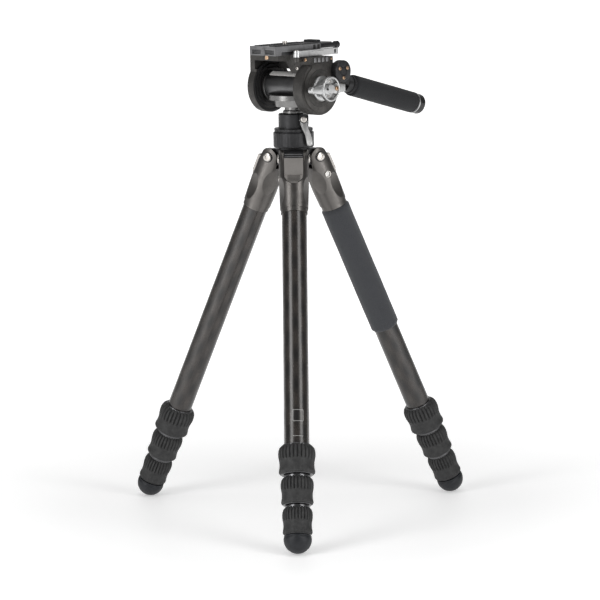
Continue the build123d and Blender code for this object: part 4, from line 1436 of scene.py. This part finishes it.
def make_rosette():
    """Scalloped cover of the handle's rosette, with its three screws."""
    pivot = Vector(joint("handle_angle")["pos_m"])
    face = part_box("handle_arm")[1][0] / MM
    place = facing(Vector((face, pivot.y / MM, pivot.z / MM)), (1, 0, 0))
    disc = [(0.0, 0.6), (5.0, 0.6), (5.4, 0.1), (6.2, 0.1), (6.6, 0.7), (13.0, 0.7), (14.2, 0.2)]
    disc += [(14.7, -0.6 - 0.6 * i) for i in range(12)] + [(14.2, -7.6), (0.0, -7.6)]
    bm = bmesh.new()
    lathe(bm, disc[::-1], 216)
    tree = flute_tree(finishes["black_metal"])
    scallop = {"Flutes": 9, "Depth": 0.9, "Start": -9.0, "Stop": 3.0, "Fade": 0.5, "Phase": 0.35}
    add_grown(
        bm, "rosette_cover", tree, [scallop], place, "black_metal", "handle", 35
    )
    bm = bmesh.new()
    screw_into(bm, 2.5, 1.3, 1.25, 5, 36)
    bmesh.ops.translate(bm, vec=(8.3, 0, 0.6), verts=bm.verts)
    tree = array_tree("Rosette screws", finishes["copper"], ring=True)
    three = {"Count": 3, "Step": 120.0}
    spun = place @ Matrix.Rotation(math.radians(-90), 4, "Z")
    add_grown(bm, "rosette_screws", tree, [three], spun, "copper", "handle")


class TRIPOD_OT_head(bpy.types.Operator):
    """Finish the fluid head's cheeks, drum, deck and bracket"""

    bl_idname = "tripod.head"
    bl_label = "Fluid head"

    def execute(self, context):
        dress("pan_base", "bowl", 0.6, 3)
        dress("drum", "drum", 0.4, 3)
        dress("left_cheek", "head", 1.0, 3)
        dress("right_cheek", "head", 1.0, 3)
        dress("deck", "head", 0.6, 3)
        dress("bracket", "head", 0.5, 3)
        make_cheek_details()
        make_deck_details()
        make_drum_details()
        return {"FINISHED"}


class TRIPOD_OT_clamp(bpy.types.Operator):
    """Finish the quick-release clamp, its lever and the plate"""

    bl_idname = "tripod.clamp"
    bl_label = "Quick-release clamp"

    def execute(self, context):
        dress("fixed_jaw", "head", 0.4)
        dress("clamp_jaw", "head", 0.3)
        dress("clamp_lever", "silver", 0.9, 4)
        dress("plate", "plate", 0.6, 3)
        dress("camera_screw", "steel", 0.2)
        dress("lens_stop", "pad", 0.8, 3)
        dress("safety_screw", "copper", 0.3)
        dress("stop_knob", "black_metal", 0.4, 3)
        make_plate_details()
        make_lever_details()
        return {"FINISHED"}


class TRIPOD_OT_knob(bpy.types.Operator):
    """Make the tilt knob with its wing"""

    bl_idname = "tripod.knob"
    bl_label = "Tilt knob"

    def execute(self, context):
        make_tilt_knob()
        return {"FINISHED"}


class TRIPOD_OT_handle(bpy.types.Operator):
    """Make the pan handle and its rosette"""

    bl_idname = "tripod.handle"
    bl_label = "Pan handle"

    def execute(self, context):
        dress("handle_tube", "black_metal")
        dress("handle_arm", "black_metal", 0.6, 3)
        make_handle()
        make_rosette()
        return {"FINISHED"}


class TRIPOD_OT_finishes(bpy.types.Operator):
    """Make every material"""

    bl_idname = "tripod.finishes"
    bl_label = "Finishes"

    def execute(self, context):
        finishes.update(make_finishes(tuple(settings().casting)))
        return {"FINISHED"}


# ------------------------------------------------------------------ stage

VIEW_AZIMUTH = 43.64
CAMERA_REACH = 3056.0 / 600.0
CAMERA_SPOT = Vector((2.87, -4000.0, 903.3)) * MM
CAMERA_TURNS = ((43.67, "Z"), (-0.03, "Z"), (90 - 8.76, "X"), (-0.908, "Z"))


def area_light(name, spot, target, size, power):
    """Soft rectangular light at a spot, facing a target."""
    lamp = bpy.data.lights.new(name, "AREA")
    lamp.shape = "RECTANGLE"
    lamp.size, lamp.size_y = size
    lamp.energy = power
    light = new_object(name, lamp)
    light.location = spot
    light.rotation_euler = (Vector(target) - Vector(spot)).to_track_quat("-Z", "Y").to_euler()


def make_world(front):
    """White backdrop behind the tripod in a darker room, which gives round parts dark edges."""
    world = bpy.data.worlds.new("Studio")
    world.use_nodes = True
    tree = world.node_tree
    tree.nodes.clear()
    place = tree.nodes.new("ShaderNodeTexCoord")
    dot = tree.nodes.new("ShaderNodeVectorMath")
    dot.operation = "DOT_PRODUCT"
    dot.inputs[1].default_value = front
    span = tree.nodes.new("ShaderNodeMapRange")
    span.interpolation_type = "SMOOTHSTEP"
    span.inputs["From Min"].default_value = -0.985
    span.inputs["From Max"].default_value = -0.7
    span.inputs["To Min"].default_value = 1.0
    span.inputs["To Max"].default_value = 0.16
    back = tree.nodes.new("ShaderNodeBackground")
    back.inputs["Color"].default_value = (1.0, 1.0, 1.0, 1.0)
    out = tree.nodes.new("ShaderNodeOutputWorld")
    tree.links.new(place.outputs["Generated"], dot.inputs[0])
    tree.links.new(dot.outputs["Value"], span.inputs["Value"])
    tree.links.new(span.outputs[0], back.inputs["Strength"])
    tree.links.new(back.outputs[0], out.inputs["Surface"])
    bpy.context.scene.world = world


def make_floor():
    """Pale floor that glows a little more away from the tripod, so it meets the backdrop."""
    bm = bmesh.new()
    bmesh.ops.create_grid(bm, x_segments=1, y_segments=1, size=30.0)
    mesh = bpy.data.meshes.new("floor")
    bm.to_mesh(mesh)
    bm.free()
    recipe = Recipe("floor")
    length = recipe.put("ShaderNodeVectorMath", operation="LENGTH")
    recipe.feed(length.inputs[0], recipe.place)
    recipe.set(
        Base_Color=(0.9, 0.9, 0.9, 1.0),
        Roughness=0.55,
        Specular_IOR_Level=0.3,
        Emission_Color=(1.0, 1.0, 1.0, 1.0),
        Emission_Strength=recipe.span(length.outputs["Value"], 0.3, 1.4, 0.36, 1.0),
    )
    mesh.materials.append(recipe.material)
    floor = new_object("floor", mesh)
    floor.location.z = -0.0004


def make_camera():
    """Long lens, a little above the head, looking past the front leg."""
    lens = bpy.data.cameras.new("camera")
    lens.sensor_width = 36.0
    lens.lens = CAMERA_REACH * lens.sensor_width
    lens.clip_start, lens.clip_end = 0.1, 50.0
    camera = new_object("camera", lens)
    turn, yaw, pitch, roll = (Matrix.Rotation(math.radians(a), 4, axis) for a, axis in CAMERA_TURNS)
    camera.matrix_world = turn @ Matrix.Translation(CAMERA_SPOT) @ yaw @ pitch @ roll
    bpy.context.scene.camera = camera


class TRIPOD_OT_stage(bpy.types.Operator):
    """Set the floor, the softboxes, the world and the camera"""

    bl_idname = "tripod.stage"
    bl_label = "Stage"

    def execute(self, context):
        make_floor()
        azimuth = math.radians(VIEW_AZIMUTH)
        front = Vector((math.sin(azimuth), -math.cos(azimuth), 0.0))
        side = Vector((math.cos(azimuth), math.sin(azimuth), 0.0))
        power = settings().key_power
        middle = Vector((0, 0, 0.36))
        ahead = middle + front * 1.15 + Vector((0, 0, 0.55))
        area_light("softbox_left", ahead - side * 1.25, middle, (0.7, 1.6), power)
        area_light("softbox_right", ahead + side * 1.25, middle, (0.7, 1.6), power * 0.85)
        above = middle + Vector((0, 0, 2.2))
        area_light("softbox_top", above, middle, (1.8, 1.8), power * 0.9)
        make_world(front)
        make_camera()
        view = context.scene.view_settings
        view.view_transform = "Standard"
        view.look = "None"
        return {"FINISHED"}


# ------------------------------------------------------------------ add-on

OPERATORS = (
    TRIPOD_OT_finishes,
    TRIPOD_OT_locks,
    TRIPOD_OT_feet,
    TRIPOD_OT_legs,
    TRIPOD_OT_sleeve,
    TRIPOD_OT_stack,
    TRIPOD_OT_head,
    TRIPOD_OT_clamp,
    TRIPOD_OT_knob,
    TRIPOD_OT_handle,
    TRIPOD_OT_stage,
)


class TRIPOD_PT_panel(bpy.types.Panel):
    """Buttons that make each group of the tripod's pieces"""

    bl_idname = "TRIPOD_PT_panel"
    bl_label = "Tripod"
    bl_space_type = "VIEW_3D"
    bl_region_type = "UI"
    bl_category = "Tripod"

    def draw(self, context):
        values = context.scene.tripod_settings
        for name in TripodSettings.__annotations__:
            self.layout.prop(values, name)
        for operator in OPERATORS:
            self.layout.operator(operator.bl_idname)


CLASSES = (TripodSettings, *OPERATORS, TRIPOD_PT_panel)


def register():
    for item in CLASSES:
        bpy.utils.register_class(item)
    bpy.types.Scene.tripod_settings = bpy.props.PointerProperty(type=TripodSettings)


def unregister():
    del bpy.types.Scene.tripod_settings
    for item in reversed(CLASSES):
        bpy.utils.unregister_class(item)


def main():
    """Register the add-on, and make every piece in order."""
    register()
    bpy.ops.tripod.finishes()
    bpy.ops.tripod.locks()
    bpy.ops.tripod.feet()
    bpy.ops.tripod.legs()
    bpy.ops.tripod.sleeve()
    bpy.ops.tripod.stack()
    bpy.ops.tripod.head()
    bpy.ops.tripod.clamp()
    bpy.ops.tripod.knob()
    bpy.ops.tripod.handle()
    bpy.ops.tripod.stage()
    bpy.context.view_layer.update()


if __name__ == "__main__":
    main()
